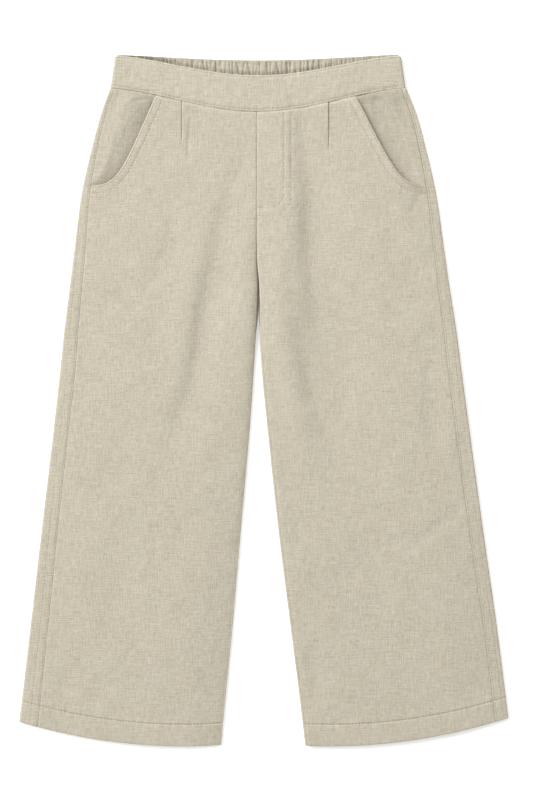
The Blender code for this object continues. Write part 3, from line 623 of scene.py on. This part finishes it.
def makeStitches(name, key):
    # a row of five-sided capsules whose ends dive into the cloth
    middle, direction, up, scale = (np.concatenate(part) for part in zip(*sewn[key]))
    beside = unit(np.cross(direction, up))
    sides, (reach, size) = sewing["sides"], capsuleRings.T
    turn, radius = np.arange(sides) * 2 * math.pi / sides, sewing["thickness"] / 2
    x = np.repeat(reach * sewing["length"] / 2, sides)
    y = (size[:, None] * np.cos(turn)).ravel() * radius
    z = (size[:, None] * np.sin(turn)).ravel() * radius * sewing["flatness"]
    z += np.repeat(sewing["proud"] - sewing["dive"] * reach**2, sides)
    x, y, z = (values[None, :, None] * mm for values in (x, y, z))
    aside = scale[:, None, None] * (y * beside[:, None] + z * up[:, None])
    points = (middle[:, None] + x * direction[:, None] + aside).reshape(-1, 3)
    ring = np.arange(4 * sides).reshape(4, sides)
    after = np.roll(ring, -1, axis=1)
    quads = np.stack([ring, after, after + sides, ring + sides], axis=-1).reshape(-1, 4)
    starts = np.arange(len(middle)) * 5 * sides
    faces = (quads[None] + starts[:, None, None]).reshape(-1, 4).tolist()
    for cap in (np.arange(sides)[::-1], np.arange(4 * sides, 5 * sides)):
        faces += (cap[None] + starts[:, None]).tolist()
    if insideOut(points[quads] - middle[0]):
        faces = [face[::-1] for face in faces]
    stitches = makeMesh(name, points, faces, points[:, :2], thread)
    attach(stitches, "root")
    return stitches


# distances above the hem's edge of the grid's last rows, closest along the row of stitches
hemRows = np.array([
    26, 24, 22.4, 21.3, 20.6, 20.1, 19.8, 19.5, 19.2, 18.9, 18.4, 17.6, 16.4, 15, 13.2, 11.4, 9.6, 7.8, 6,
    4.4, 3, 1.9, 1.1, 0.5, 0,
])


def sideHem(side):  # down of the hem at the side seam
    return hemLine(sideSeam(side, garment["hemEnds"][0]))


def innerHem(side):  # down of the hem at the inseam
    return hemLine(innerEdge(side, garment["hemEnds"][1]))


def hemEase(down, bottom):  # how far the rows have turned from level into the hem's own line
    return smooth((down - garment["hemEaseTop"]) / (bottom - garment["hemEaseTop"] - garment["hemEaseSpare"]))


def wallOf(folded):  # the cloth's thickness where it is folded (1) and where not (0)
    return garment["clothWall"] + (garment["foldedWall"] - garment["clothWall"]) * folded


# ---- fronts
frontCut = dict(
    seamColumns=(0, 0.25, 0.6, 1.0, 1.5, 2.2, 3.1, 4.2, 6.0), centreColumns=42, outerColumns=28,
    pleatColumns=(-2.2, -1.5, -1.0, -0.7, -0.45, -0.2, 0.0, 0.2, 0.4, 0.6, 0.85, 1.2, 1.8, 2.8),
    lastColumns=(-9.0, -8.0, -7.3, -6.6, -6.0, -5.0, -4.0, -3.0, -2.1, -1.4, -0.8, -0.35, 0.0),
    mouthRows=74, legPitch=2.2, mouthShare=0.87, foldWidth=7.0, mouthDrop=0.45, hemDrop=0.12,
    sideBulge=0.05, mouthBulge=0.45, hemBulge=0.3, easeRun=70.0,
)


def frontGrid(side):
    # rows run from the centre seam or inseam to the pocket mouth or side seam; the pleat has its own columns
    cut, gap, mouthBottom = frontCut, garment["halfGap"], garment["mouthBottom"]
    mouthAcross, mouthDown = pocketMouth(side, np.linspace(0, 1, cut["mouthRows"]))
    sideEnd, top, bottom = sideHem(side), frontSeam(0.0), innerHem(side)
    hemStart = sideEnd - hemRows[0]
    legDown = along([(mouthBottom, cut["legPitch"]), (hemStart, 1)])[1:-1]
    legDown = np.concatenate([legDown, sideEnd - hemRows])
    outerDown = np.concatenate([mouthDown, legDown])[:, None]
    outerAcross = np.concatenate([mouthAcross, sideSeam(side, legDown) - gap])[:, None]
    turn = top + (mouthBottom - mouthDown[0]) * cut["mouthShare"]
    stops = [mouthDown[0], mouthBottom, hemStart, sideEnd], [top, turn, bottom - hemRows[0], bottom]
    innerDown = np.interp(outerDown, *stops)
    innerAcross = innerEdge(side, innerDown) + gap
    width, pleat = outerAcross - innerAcross, side["pleatAcross"] - innerAcross
    seam, slit, last = (np.array(cut[key])[None, :] for key in ("seamColumns", "pleatColumns", "lastColumns"))
    start, end = seam[:, -1:], width + last[:, :1]
    toPleat = start + (pleat + slit[:, :1] - start) * between(cut["centreColumns"])
    fromPleat = pleat + slit[:, -1:] + (end - pleat - slit[:, -1:]) * between(cut["outerColumns"])
    pleated = sideBySide(toPleat, pleat + slit, fromPleat)
    even = start + (end - start) * between(pleated.shape[1])
    relax = smooth((innerDown - side["pleatBottom"]) / cut["easeRun"])
    inside = pleated * (1 - relax) + even * relax
    across = innerAcross + sideBySide(np.repeat(seam, len(width), axis=0), inside, width + last)
    share = (across - innerAcross) / width
    down, ends = innerDown + (outerDown - innerDown) * share, (across[:, :1], across[:, -1:])
    waistFade = 1 - smooth((innerDown - top) / cut["easeRun"])
    down = down + waistFade * bent(frontSeam, across, *ends, share)
    down = down + hemEase(innerDown, bottom) * bent(hemLine, across, *ends, share)
    down[0] += gap
    return across, down


def makeFront(side, replaced):
    # the grid laid at the front's height; its wall turns with the leg's two edges and is thicker where folded
    cut, sign, key = frontCut, side["sign"], "front" + side["name"]
    across, down = frontGrid(side)
    height = onEdge(side, across, down, frontHeight(side, across, down))
    fromMouth = mouthDistance(side, across, down)
    wall = wallOf(np.maximum(smooth((cut["foldWidth"] - fromMouth) / 1.2 + 0.5), inHem(across, down)))
    innerAngle = edgeAngle(np.maximum(across - across[:, :1], 0.0))
    lean = math.pi / 2 - (math.pi / 2 - innerAngle) * frontCurl(down)
    angle = edgeAngle(outerEdge(side, down) - across)
    edgeDrop = cut["mouthDrop"] * groove(fromMouth, 0.5)
    edgeDrop += cut["hemDrop"] * groove(hemLine(across) - down, 0.6)
    outer = toWorld(sign, across, down, height - edgeDrop)
    inward, below = wall * (np.cos(angle) - np.cos(lean)), wall * np.minimum(np.sin(angle), np.sin(lean))
    inner = toWorld(sign, across - inward, down, height - below)
    bulge = np.full(across.shape, cut["sideBulge"])
    bulge[:cut["mouthRows"], -1] = cut["mouthBulge"]
    bulge[-1] = cut["hemBulge"]
    uv = plainUv(across, down, side["offset"] * 100)
    piece, area = makeCloth(key + "Cloth", replaced, outer, inner, uv, bulge, linen)

    def onTop(a, d):
        return onEdge(side, a, d, frontHeight(side, a, d))

    for row in surface["mouthRows"]:  # rows of stitches inside the mouth's edge
        lineAcross, lineDown = pocketMouth(side, np.linspace(0.005, 0.995, 160))
        aside = unit(np.stack([-np.gradient(lineDown), np.gradient(lineAcross)], axis=1)) * row
        sew(key, sign, lineAcross + aside[:, 0], lineDown + aside[:, 1], onTop)
    outerEnd, innerEnd = garment["hemRowEnds"]
    sewHem(key, side, innerEdge(side, innerEnd) + 2, sideSeam(side, outerEnd) - 1, 200, onTop, 1.2)
    if side is leftSide:
        corner = fly["straightPoints"]
        for row in fly["rows"]:
            lineAcross, lineDown = flyPath(row)
            sew(key, sign, lineAcross[:corner], lineDown[:corner], onTop, 1.15)
            sew(key, sign, lineAcross[corner - 1:], lineDown[corner - 1:], onTop, 1.35)
    stitches = makeStitches(key + "Stitches", key)
    below = ["back" + side["name"] + "Cloth"]
    print(piece.name, "area", round(area, 4), "faces", len(piece.data.polygons))


# ---- backs
backCut = dict(
    nearColumns=(0, 0.4, 0.8, 1.2, 1.6, 2.0, 2.5),
    overColumns=15, underColumns=8, floorColumns=74, lastColumns=8,
    rowPitch=2.3, sideTop=30.0, gatherDepth=1.0, gatherRun=85.0, gatherPitch=13.5, deepest=1.25, hemRise=0.25,
    sideBulge=0.05, hemBulge=0.4, rowStarts=(36.0, 152.0), easeRun=60.0,
)


def backFloor(side, across, down):  # relief of the hidden side: it rests on the surface between soft hollows
    waist = 1 - smooth((down - backSeam(across)) / backCut["gatherRun"])
    phase = across / backCut["gatherPitch"] + 0.35 * np.sin(across / 17.0 + side["offset"])
    phase += 0.12 * np.sin(down / 23.0 + across / 31.0)
    uneven = backCut["gatherDepth"] * (0.75 + 0.25 * np.sin(across / 9.0))
    folds = uneven * np.sin(math.pi * phase) ** 4
    hollows = creaseHeight(creases["hidden" + side["name"]], across, down)
    soft = np.clip(0.14 * crumple(across, down, 61 + side["sign"]), 0, None)
    relief = np.clip(folds * waist + hollows + soft, 0, backCut["deepest"])
    return relief + backCut["hemRise"] * groove(aboveHemRow(across, down), 1.0)


def makeBack(side, replaced):
    # sections from the side seam on top, round the leg's outer edge, to the centre seam or inseam below
    cut, gap, sign, key = backCut, garment["halfGap"], side["sign"], "back" + side["name"]
    overCount, underCount, rounding = cut["overColumns"], cut["underColumns"], garment["underRounding"]
    sideEnd, sideTop = sideHem(side), backSeam(sideSeam(side, cut["sideTop"]))
    seamDown = along([(sideTop, cut["rowPitch"]), (sideEnd - hemRows[0], 1)])[:-1]
    seamDown = np.concatenate([seamDown, sideEnd - hemRows])[:, None]
    top, bottom = backSeam(0.0), innerHem(side) - 1.0
    innerDown = top + (seamDown - seamDown[0]) / (seamDown[-1] - seamDown[0]) * (bottom - top)
    curl = smooth((innerDown - garment["backFork"]) / garment["forkRun"])
    waistFade = 1 - smooth((innerDown - top) / cut["easeRun"])
    hemFade = hemEase(innerDown, bottom)
    inset = seamInset(side, seamDown) - gap
    near = np.repeat([cut["nearColumns"]], len(inset), axis=0)
    rest = np.sin(np.linspace(0, math.pi / 2, overCount - near.shape[1] + 1))[None, 1:]
    over = inset - sideBySide(near, near[:, -1:] + (inset - near[:, -1:]) * rest)
    underAngle = np.repeat([np.linspace(0, math.pi / 2, underCount + 1)[1:]], len(inset), axis=0)
    wrap = sideBySide(over, rounding * (1 - np.cos(underAngle)))
    edge = outerEdge(side, seamDown)
    wrapDown = seamDown + hemFade * (hemLine(edge - wrap) - hemLine(edge - inset))
    wrapAcross = outerEdge(side, wrapDown) - wrap
    innermost, outermost = backInner(side, innerDown) + gap, wrapAcross[:, -1:]
    floor = outermost + (innermost + rounding - outermost) * between(cut["floorColumns"])
    lastAngle = np.linspace(math.pi / 2, 0, cut["lastColumns"])[None, :]
    last = rounding * ((1 - np.cos(lastAngle)) * curl + lastAngle / (math.pi / 2) * (1 - curl))
    across = sideBySide(wrapAcross, floor, innermost + last)
    first = across[:, :1]
    share = np.clip((across - innermost) / (first - innermost), 0, 1)
    down = innerDown + (seamDown - innerDown) * share
    down = down + waistFade * bent(backSeam, across, innermost, first, share)
    down = down + hemFade * bent(hemLine, across, innermost, first, share)
    down[0] = backSeam(across[0]) + gap
    onTopSide = np.zeros(across.shape[1])  # 1 on the front's side of the edge, fading out below it
    onTopSide[:overCount] = 1
    onTopSide[overCount:wrap.shape[1]] = 1 - smooth(np.linspace(0, 1, underCount))
    down = down + (frontSeam(across) - backSeam(across)) * onTopSide * (1 - smooth((down - 30) / 50.0))
    overAngle, overPlace = edgeAngle(over), (across[:, :overCount], down[:, :overCount])
    overHeight = bodyHeight(side, *overPlace) + hemRelief(*overPlace) - waistDitch(*overPlace)
    underHeight = garment["edgeMiddle"] * (1 - np.sin(underAngle))
    lastHeight = (garment["edgeMiddle"] - gap) * (1 - np.sin(lastAngle)) * curl
    height = sideBySide(overEdge(overHeight, overAngle), underHeight, np.zeros(floor.shape), lastHeight)
    floorFade = smooth((outerEdge(side, down) - across - 3.0) / 14.0) * smooth((across - innermost) / 12.0)
    floorFade[:, :wrap.shape[1]] = 0.0
    height = height + backFloor(side, across, down) * floorFade
    level, lastLean = np.full(floor.shape, -math.pi / 2), -math.pi / 2 - (math.pi / 2 - lastAngle) * curl
    lean = sideBySide(overAngle, -underAngle, level, lastLean)
    wall = wallOf(inHem(across, down) * np.clip(np.abs(np.sin(lean)) * 4 - 3, 0, 1))
    outer = toWorld(sign, across, down, height)
    inner = toWorld(sign, across - wall * np.cos(lean), down, height - wall * np.sin(lean))
    bulge = np.full(across.shape, cut["sideBulge"])
    bulge[-1] = cut["hemBulge"]
    steps = np.hypot(*(np.diff(line, axis=1, prepend=line[:, :1]) for line in (across, height)))
    uv = plainUv(first + np.cumsum(steps, axis=1), down, side["offset"] * 100 + 700)
    piece, area = makeCloth(key + "Cloth", replaced, outer, inner, uv, bulge, linen)

    def onTop(a, d):
        return onEdge(side, a, d, bodyHeight(side, a, d) + hemRelief(a, d))

    def onFloor(a, d):
        return backFloor(side, a, d) + 0.12

    for row, start in zip(surface["sideRows"], cut["rowStarts"]):
        rowDown = np.linspace(start, sideEnd - 1.5, 500)
        rowDown = rowDown[seamInset(side, rowDown) > row + 0.9]
        sew(key, sign, sideSeam(side, rowDown) + row, rowDown, onTop, 0.75)
    outerEnd, innerEnd = garment["hemRowEnds"]
    edge = outerEdge(side, outerEnd)
    sewHem(key, side, innerEdge(side, innerEnd) + 4, edge - 8, 150, onFloor)
    sewHem(key, side, sideSeam(side, outerEnd) + 1, edge - 1.5, 20, onTop)
    stitches = makeStitches(key + "Stitches", key)
    print(piece.name, "area", round(area, 4), "faces", len(piece.data.polygons))


# ---- hip pieces in the pocket mouths
pocketCut = dict(
    rows=78, underlap=12.0, underColumns=14, seenColumns=44, top=31.0, mostStart=130.0, wall=0.6, bulge=0.05,
    sunk=(3.5, 2.1), rise=(0.7, 0.0), lowest=2.25,  # pairs are the right side's and the left side's
    run=(19.0, 24.0), power=(2.1, 0.6), runMore=5.0, widest=78.0, leastRun=2.5,
)


def makePocket(side, replaced):
    # deep under the mouth's edge and level with the side seam outside:
    # lift = -sunk x (1 - distance from the mouth / run) to a power
    cut, gap, which = pocketCut, garment["halfGap"], side["which"]
    top, bottom = frontSeam(side["mouthTop"]) + gap, garment["mouthBottom"] + cut["underlap"]
    outerDown = np.linspace(cut["top"], bottom, cut["rows"])[:, None]
    lineAcross, lineDown = pocketMouth(side, np.linspace(0, 1, 160))
    startDown = top + (outerDown - outerDown[0]) / (bottom - outerDown[0]) * (bottom - top)
    start = np.minimum(np.interp(startDown, lineDown, lineAcross), cut["mostStart"]) - cut["underlap"]
    end = sideSeam(side, outerDown) - gap
    under = np.repeat([np.linspace(0, cut["underlap"], cut["underColumns"])], cut["rows"], axis=0)
    seen = (end - start - cut["underlap"]) * np.linspace(0, 1, cut["seenColumns"] + 1)[None, 1:]
    across = start + sideBySide(under, cut["underlap"] + seen)
    down = startDown + (outerDown - startDown) * (across - start) / (end - start)
    down[0] = frontSeam(across[0]) + gap
    line = np.interp(np.minimum(down, garment["mouthBottom"]), lineDown, lineAcross)
    reach = mouthDistance(side, across, down) * smooth(across - line) * (down < garment["mouthBottom"])
    fromSeam, clear = smooth((sideSeam(side, down) - across) / 16.0), smooth((down - frontSeam(across)) / 9.0)
    run = cut["run"][which] + cut["runMore"] * groove(down - cut["widest"], 26.0)
    run = cut["leastRun"] + (run - cut["leastRun"]) * fromSeam
    sunk = cut["sunk"][which] * (0.22 + 0.78 * fromSeam) * (0.12 + 0.88 * clear)
    height = bodyHeight(side, across, down) + cut["rise"][which] * fromSeam * clear
    height -= sunk * np.clip(1 - reach / run, 0, 1) ** cut["power"][which]
    height += creaseHeight(creases["pocket" + side["name"]], across, down) * clear
    height = np.maximum(height, cut["lowest"]) - waistDitch(across, down)
    height = onEdge(side, across, down, height)
    outer, inner = (toWorld(side["sign"], across, down, height - below) for below in (0.0, cut["wall"]))
    uv, bulge = plainUv(across, down, side["offset"] * 10 + 1500), np.full(across.shape, cut["bulge"])
    name = "pocketBack" + side["name"] + "Cloth"
    # the hip piece wears the linen with painted shade
    piece, area = makeCloth(name, replaced, outer, inner, uv, bulge, pocketLinenPaintedShade)
    print(piece.name, "area", round(area, 4))


# ---- waistband
bandCut = dict(
    top=6.1, wall=2.0, leastWall=0.9, slack=0.005, columns=190, middleRows=18, stitchUp=2.1, rim=0.6,
    topRows=(0, 0.01, 0.022, 0.036, 0.05, 0.064),
    seamRows=(0.92, 0.935, 0.95, 0.962, 0.974, 0.984, 0.993, 1.0),
    edgeDrop=0.75, edgeRun=1.3, edgeFurrow=0.3, seamDrop=0.35, endFall=0.9,
    sideStep=1.3, cornerDrop=1.2, cornerRun=2.0,
)
gatherCut = dict(
    topRows=(0, 0.01, 0.025, 0.045, 0.06), middleRows=18, seamRows=7, overColumns=9, columns=620,
    halfRun=119.0, base=0.95, rise=2.3, under=0.8, fall=1.25, fallRun=5.0, moreWall=0.2, rim=0.25, girthRow=8,
)


def bandEnd(rise):  # where the band ends at a share of its height
    return garment["waistHalfTop"] + (garment["waistHalfSeam"] - garment["waistHalfTop"]) * rise


def bandTop(across):  # the front band's top edge: the back band shows above it, and its corners are round
    end = garment["waistHalfTop"]
    corner = bandCut["cornerDrop"] * groove(end - np.minimum(across, end), bandCut["cornerRun"])
    return frontTop(across) + bandCut["sideStep"] * (1 - waistDip(across)) + corner


def bandHeight(across, down):
    # a firm double band, less its rounded top edge, a fall to its left end, its ditches and its row's furrow
    cut, distance = bandCut, np.abs(across)
    belowTop, aboveSeam = down - bandTop(distance), frontSeam(distance) - down
    height = cut["top"] + 0.1 * crumple(across, down, 77, 8.0, 40.0)
    height += 0.04 * crumple(across, down, 78, 3.5, 9.0)
    height -= cut["edgeDrop"] * (1 - np.sqrt(1 - (1 - np.clip(belowTop / cut["edgeRun"], 0, 1)) ** 2))
    height -= cut["endFall"] * smooth((across - 98) / 34) + cut["edgeFurrow"] * groove(belowTop - 1.9, 0.5)
    height -= cut["seamDrop"] * groove(aboveSeam, 0.8)
    height -= surface["furrow"] * groove(aboveSeam - cut["stitchUp"], 0.8)
    return height


def makeBandFront(replaced):
    # rows from the top edge to the waist seam, rounded down at both ends, with a thinner wall there
    cut, key = bandCut, "waistbandFront"
    middle = np.linspace(0.08, 0.9, cut["middleRows"])
    rise = np.concatenate([cut["topRows"], middle, cut["seamRows"]])[:, None]
    end = bandEnd(rise)
    across = np.linspace(-1, 1, cut["columns"])[None, :] * (end - garment["waistInset"] - cut["slack"])
    distance = np.abs(across)
    down = bandTop(distance) + (frontSeam(distance) - garment["halfGap"] - bandTop(distance)) * rise
    height = overEdge(bandHeight(across, down), edgeAngle(end - distance))
    outer = toWorld(1, across, down, height)
    inner = toWorld(1, across, down, np.minimum(height - cut["leastWall"], cut["top"] - cut["wall"]))
    bulge = np.zeros(across.shape)
    bulge[0] = cut["rim"]
    uv = plainUv(across, down, 2600)
    piece, area = makeCloth(key + "Cloth", replaced, outer, inner, uv, bulge, linen)
    rowAcross = np.linspace(-126, 126, 400)
    sew(key, 1, rowAcross, frontSeam(np.abs(rowAcross)) - cut["stitchUp"], bandHeight)
    stitches = makeStitches(key + "Stitches", key)
    print(piece.name, "area", round(area, 4))


# folds of the elastic's gathers: across at the top edge, across 14 mm lower, depth, half width
gathers = np.array([
    (-117.0, -116.1, 0.35, 0.66), (-111.6, -111.2, 0.3, 0.57), (-106.2, -105.3, 0.4, 0.76),
    (-99.6, -99.0, 0.7, 0.76), (-94.5, -95.4, 0.3, 0.57), (-90.0, -88.2, 0.35, 0.66),
    (-84.6, -83.3, 0.9, 0.66), (-81.9, -80.6, 0.45, 0.57), (-74.7, -72.0, 0.9, 0.76),
    (-71.6, -69.3, 0.5, 0.57), (-66.6, -67.1, 0.35, 0.76), (-58.8, -59.0, 0.8, 0.66),
    (-54.0, -53.1, 0.3, 0.66), (-49.5, -47.3, 0.9, 0.76), (-46.4, -44.1, 0.5, 0.66),
    (-41.4, -42.3, 0.35, 0.66), (-38.0, -37.6, 1.2, 0.66), (-33.3, -32.4, 0.35, 0.76),
    (-28.8, -29.7, 0.3, 0.66), (-25.7, -24.8, 0.4, 0.57), (-22.8, -22.8, 1, 0.66), (-19.8, -16.2, 1, 0.76),
    (-16.7, -18.0, 0.4, 0.66), (-11.7, -14.0, 0.9, 0.66), (-9.9, -6.3, 1.1, 0.76), (-3.2, -4.1, 0.35, 0.66),
    (1.8, 1.8, 0.6, 0.66), (7.6, 9.3, 1.5, 0.71), (12.1, 11.2, 0.4, 0.66), (16.2, 19.5, 1.3, 0.71),
    (22.5, 21.6, 0.4, 0.66), (26.1, 26.7, 1.5, 0.85), (29.7, 29.1, 0.6, 0.76), (34.2, 34.6, 0.3, 0.66),
    (38.7, 39.1, 0.9, 0.66), (42.3, 41.4, 0.3, 0.66), (45.0, 45.9, 1.3, 0.71), (50.4, 49.5, 0.35, 0.76),
    (54.9, 55.8, 0.8, 0.66), (57.3, 58.0, 0.5, 0.57), (62.1, 61.2, 0.3, 0.66), (66.1, 66.6, 1, 0.66),
    (71.1, 72.9, 0.6, 0.66), (75.6, 76.5, 0.45, 0.57), (79.2, 79.8, 0.5, 0.57), (82.8, 83.7, 0.5, 0.57),
    (86.4, 86.9, 0.4, 0.57), (90.9, 91.8, 0.35, 0.66), (96.3, 95.4, 0.3, 0.66), (102.6, 102.6, 0.3, 0.66),
    (109.8, 109.8, 0.25, 0.76),
])


def gatherValleys(flat, rise):  # 0 on the cloth's crests, 1 in the deepest folds: the folds' bells added up
    total = np.zeros(flat.shape)
    for top, below, depth, half in gathers:
        path = top + (below - top) * np.minimum(rise / 0.45, 1.4)
        total += depth * np.exp(-np.abs((flat - path) / half) ** 1.6) * (0.8 + 0.2 * np.cos(rise * 4 + top))
    return 1 - np.exp(-total)


def makeBandBack(replaced):
    # gathered cloth, its wrong side up: base + rise x (1 - the valleys); both ends wrap round to the front
    cut, gap, overCount = gatherCut, garment["halfGap"], gatherCut["overColumns"]
    middle, low = np.linspace(0.08, 0.5, cut["middleRows"]), np.linspace(0.56, 1.0, cut["seamRows"])
    rise = np.concatenate([cut["topRows"], middle, low])[:, None]
    underAngle = np.linspace(0, math.pi / 2, 8)[1:]
    over = (garment["waistInset"] - bandCut["slack"]) * (1 - np.cos(np.linspace(math.pi / 2, 0, overCount)))
    beside = np.concatenate([over, garment["underRounding"] * (1 - np.cos(underAngle))])
    wrapAngle, count = np.concatenate([edgeAngle(over), -underAngle]), len(beside)
    flat = np.linspace(-cut["halfRun"], cut["halfRun"], cut["columns"]) * np.ones(rise.shape)
    wrap = bandEnd(rise) - beside
    across = sideBySide(-wrap, flat, wrap[:, ::-1])
    distance = np.abs(across)
    onTopSide = np.concatenate([np.ones(overCount), 1 - smooth(np.linspace(0, 1, count - overCount))])
    onTopSide = np.concatenate([onTopSide, np.zeros(flat.shape[1]), onTopSide[::-1]])
    fromEdge = np.concatenate([beside, np.full(flat.shape[1], 99.0), beside[::-1]])
    upper = backTop(distance) + groove(fromEdge, 2.2) * (1 - onTopSide)
    upper += (bandTop(distance) - upper) * onTopSide
    lower = backSeam(distance) + (frontSeam(distance) - backSeam(distance)) * onTopSide
    down = upper + (lower - gap - upper) * rise
    flatDown, valley = down[:, count:-count], gatherValleys(flat, rise)
    grooves = cut["under"] * np.clip(2.2 * valley - 0.9, 0, 1)
    soft = 0.13 * crumple(flat, flatDown * 0.5, 91, 2.5, 7.0, 32)
    soft += 0.12 * crumple(flat, flatDown * 0.3, 93, 8.0, 20.0, 16)
    rightEnd, leftEnd = smooth((-flat - 55) / 45), smooth((flat - 45) / 45)
    fall = cut["fall"] * (1 + rightEnd - 0.7 * leftEnd)
    fall *= 1 - smooth((bandTop(np.abs(flat)) - flatDown) / cut["fallRun"])
    crest = cut["rise"] * (1 - (0.1 + 0.9 * smooth((rise - 0.03) / 0.07)) * valley)
    thick = np.maximum(cut["base"] + crest + soft - fall, grooves + 0.5)
    heights = []
    for part in (across[:, :count], across[:, :-count - 1:-1]):
        over = overEdge(bandHeight(part, down[:, :count]), wrapAngle)
        heights.append(np.where(wrapAngle >= 0, over, garment["edgeMiddle"] * (1 + np.sin(wrapAngle))))
    height = sideBySide(heights[0], grooves, heights[1][:, ::-1])
    wall = garment["clothWall"] + cut["moreWall"]
    wrapIn, below = wrap - wall * np.cos(wrapAngle), wall * np.sin(wrapAngle)
    innerAcross = sideBySide(-wrapIn, flat, wrapIn[:, ::-1])
    innerHeight = sideBySide(heights[0] - below, thick, (heights[1] - below)[:, ::-1])
    outer, inner = toWorld(1, across, down, height), toWorld(1, innerAcross, down, innerHeight)
    profile = innerAcross[cut["girthRow"]], innerHeight[cut["girthRow"]]
    girth = np.cumsum(np.hypot(*(np.diff(line, prepend=line[0]) for line in profile)))
    uv = plainUv(np.broadcast_to(girth, across.shape), down, 3300)
    bulge = np.zeros(across.shape)
    bulge[0] = cut["rim"]
    # the band's inside wears the linen with painted shade
    piece, area = makeCloth("waistbandBackCloth", replaced, outer, inner, uv, bulge, bandLinenPaintedShade)
    area = (area + clothArea(inner)) / 2
    print(piece.name, "area", round(area, 4))


# ---- floor, light and camera
studio = dict(
    floor=(0.99, 0.99, 0.99), floorGlow=0.22, floorHalf=30.0, floorTop=-0.0003, world=0.645,
    panels=(("keyPanel", (-3.15, 2.25, 2.4), 280.0, 3.3), ("fillPanel", (0.9, 2.1, 1.5), 15.0, 1.4)),
    panelColour=(1.0, 0.988, 0.965), cameraPlace=(0.00254, 0.0, 1.803), lens=90, sensor=36.0,
)


def makeStudio():
    scene, white = bpy.context.scene, (1, 1, 1, 1)
    paper, _, shader = newMaterial("paper", 0.9)
    shader.inputs["Base Color"].default_value = (*studio["floor"], 1)
    shader.inputs["Specular IOR Level"].default_value = 0.0
    shader.inputs["Emission Color"].default_value = white
    shader.inputs["Emission Strength"].default_value = studio["floorGlow"]
    paper.cycles.emission_sampling = "NONE"
    corners = np.array([(-1, -1, 0), (1, -1, 0), (1, 1, 0), (-1, 1, 0)]) * studio["floorHalf"]
    corners[:, 2] = studio["floorTop"]
    makeMesh("floor", corners, [(0, 1, 2, 3)], np.zeros((4, 2)), paper)
    scene.world = scene.world or bpy.data.worlds.new("studio")
    scene.world.use_nodes = True
    background = scene.world.node_tree.nodes["Background"]
    background.inputs[0].default_value, background.inputs[1].default_value = white, studio["world"]
    for name, place, power, size in studio["panels"]:
        light = bpy.data.lights.new(name, "AREA")
        light.energy, light.size, light.color = power, size, studio["panelColour"]
        lamp = bpy.data.objects.new(name, light)
        lamp.location = place
        lamp.rotation_euler = (-Vector(place)).to_track_quat("-Z", "Y").to_euler()
        scene.collection.objects.link(lamp)
    camera = bpy.data.cameras.new("camera")
    camera.lens, camera.sensor_width, camera.sensor_fit = studio["lens"], studio["sensor"], "AUTO"
    scene.camera = bpy.data.objects.new("camera", camera)
    scene.camera.location = studio["cameraPlace"]
    scene.collection.objects.link(scene.camera)
    scene.view_settings.view_transform = "Standard"
    print("floor, light and camera ready")


makeBack(rightSide, "back_right")
makeBack(leftSide, "back_left")
makeBandBack("waistband_back")
makePocket(rightSide, "pocket_back_right")
makePocket(leftSide, "pocket_back_left")
makeFront(rightSide, "front_right")
makeFront(leftSide, "front_left")
makeBandFront("waistband_front")
makeStudio()
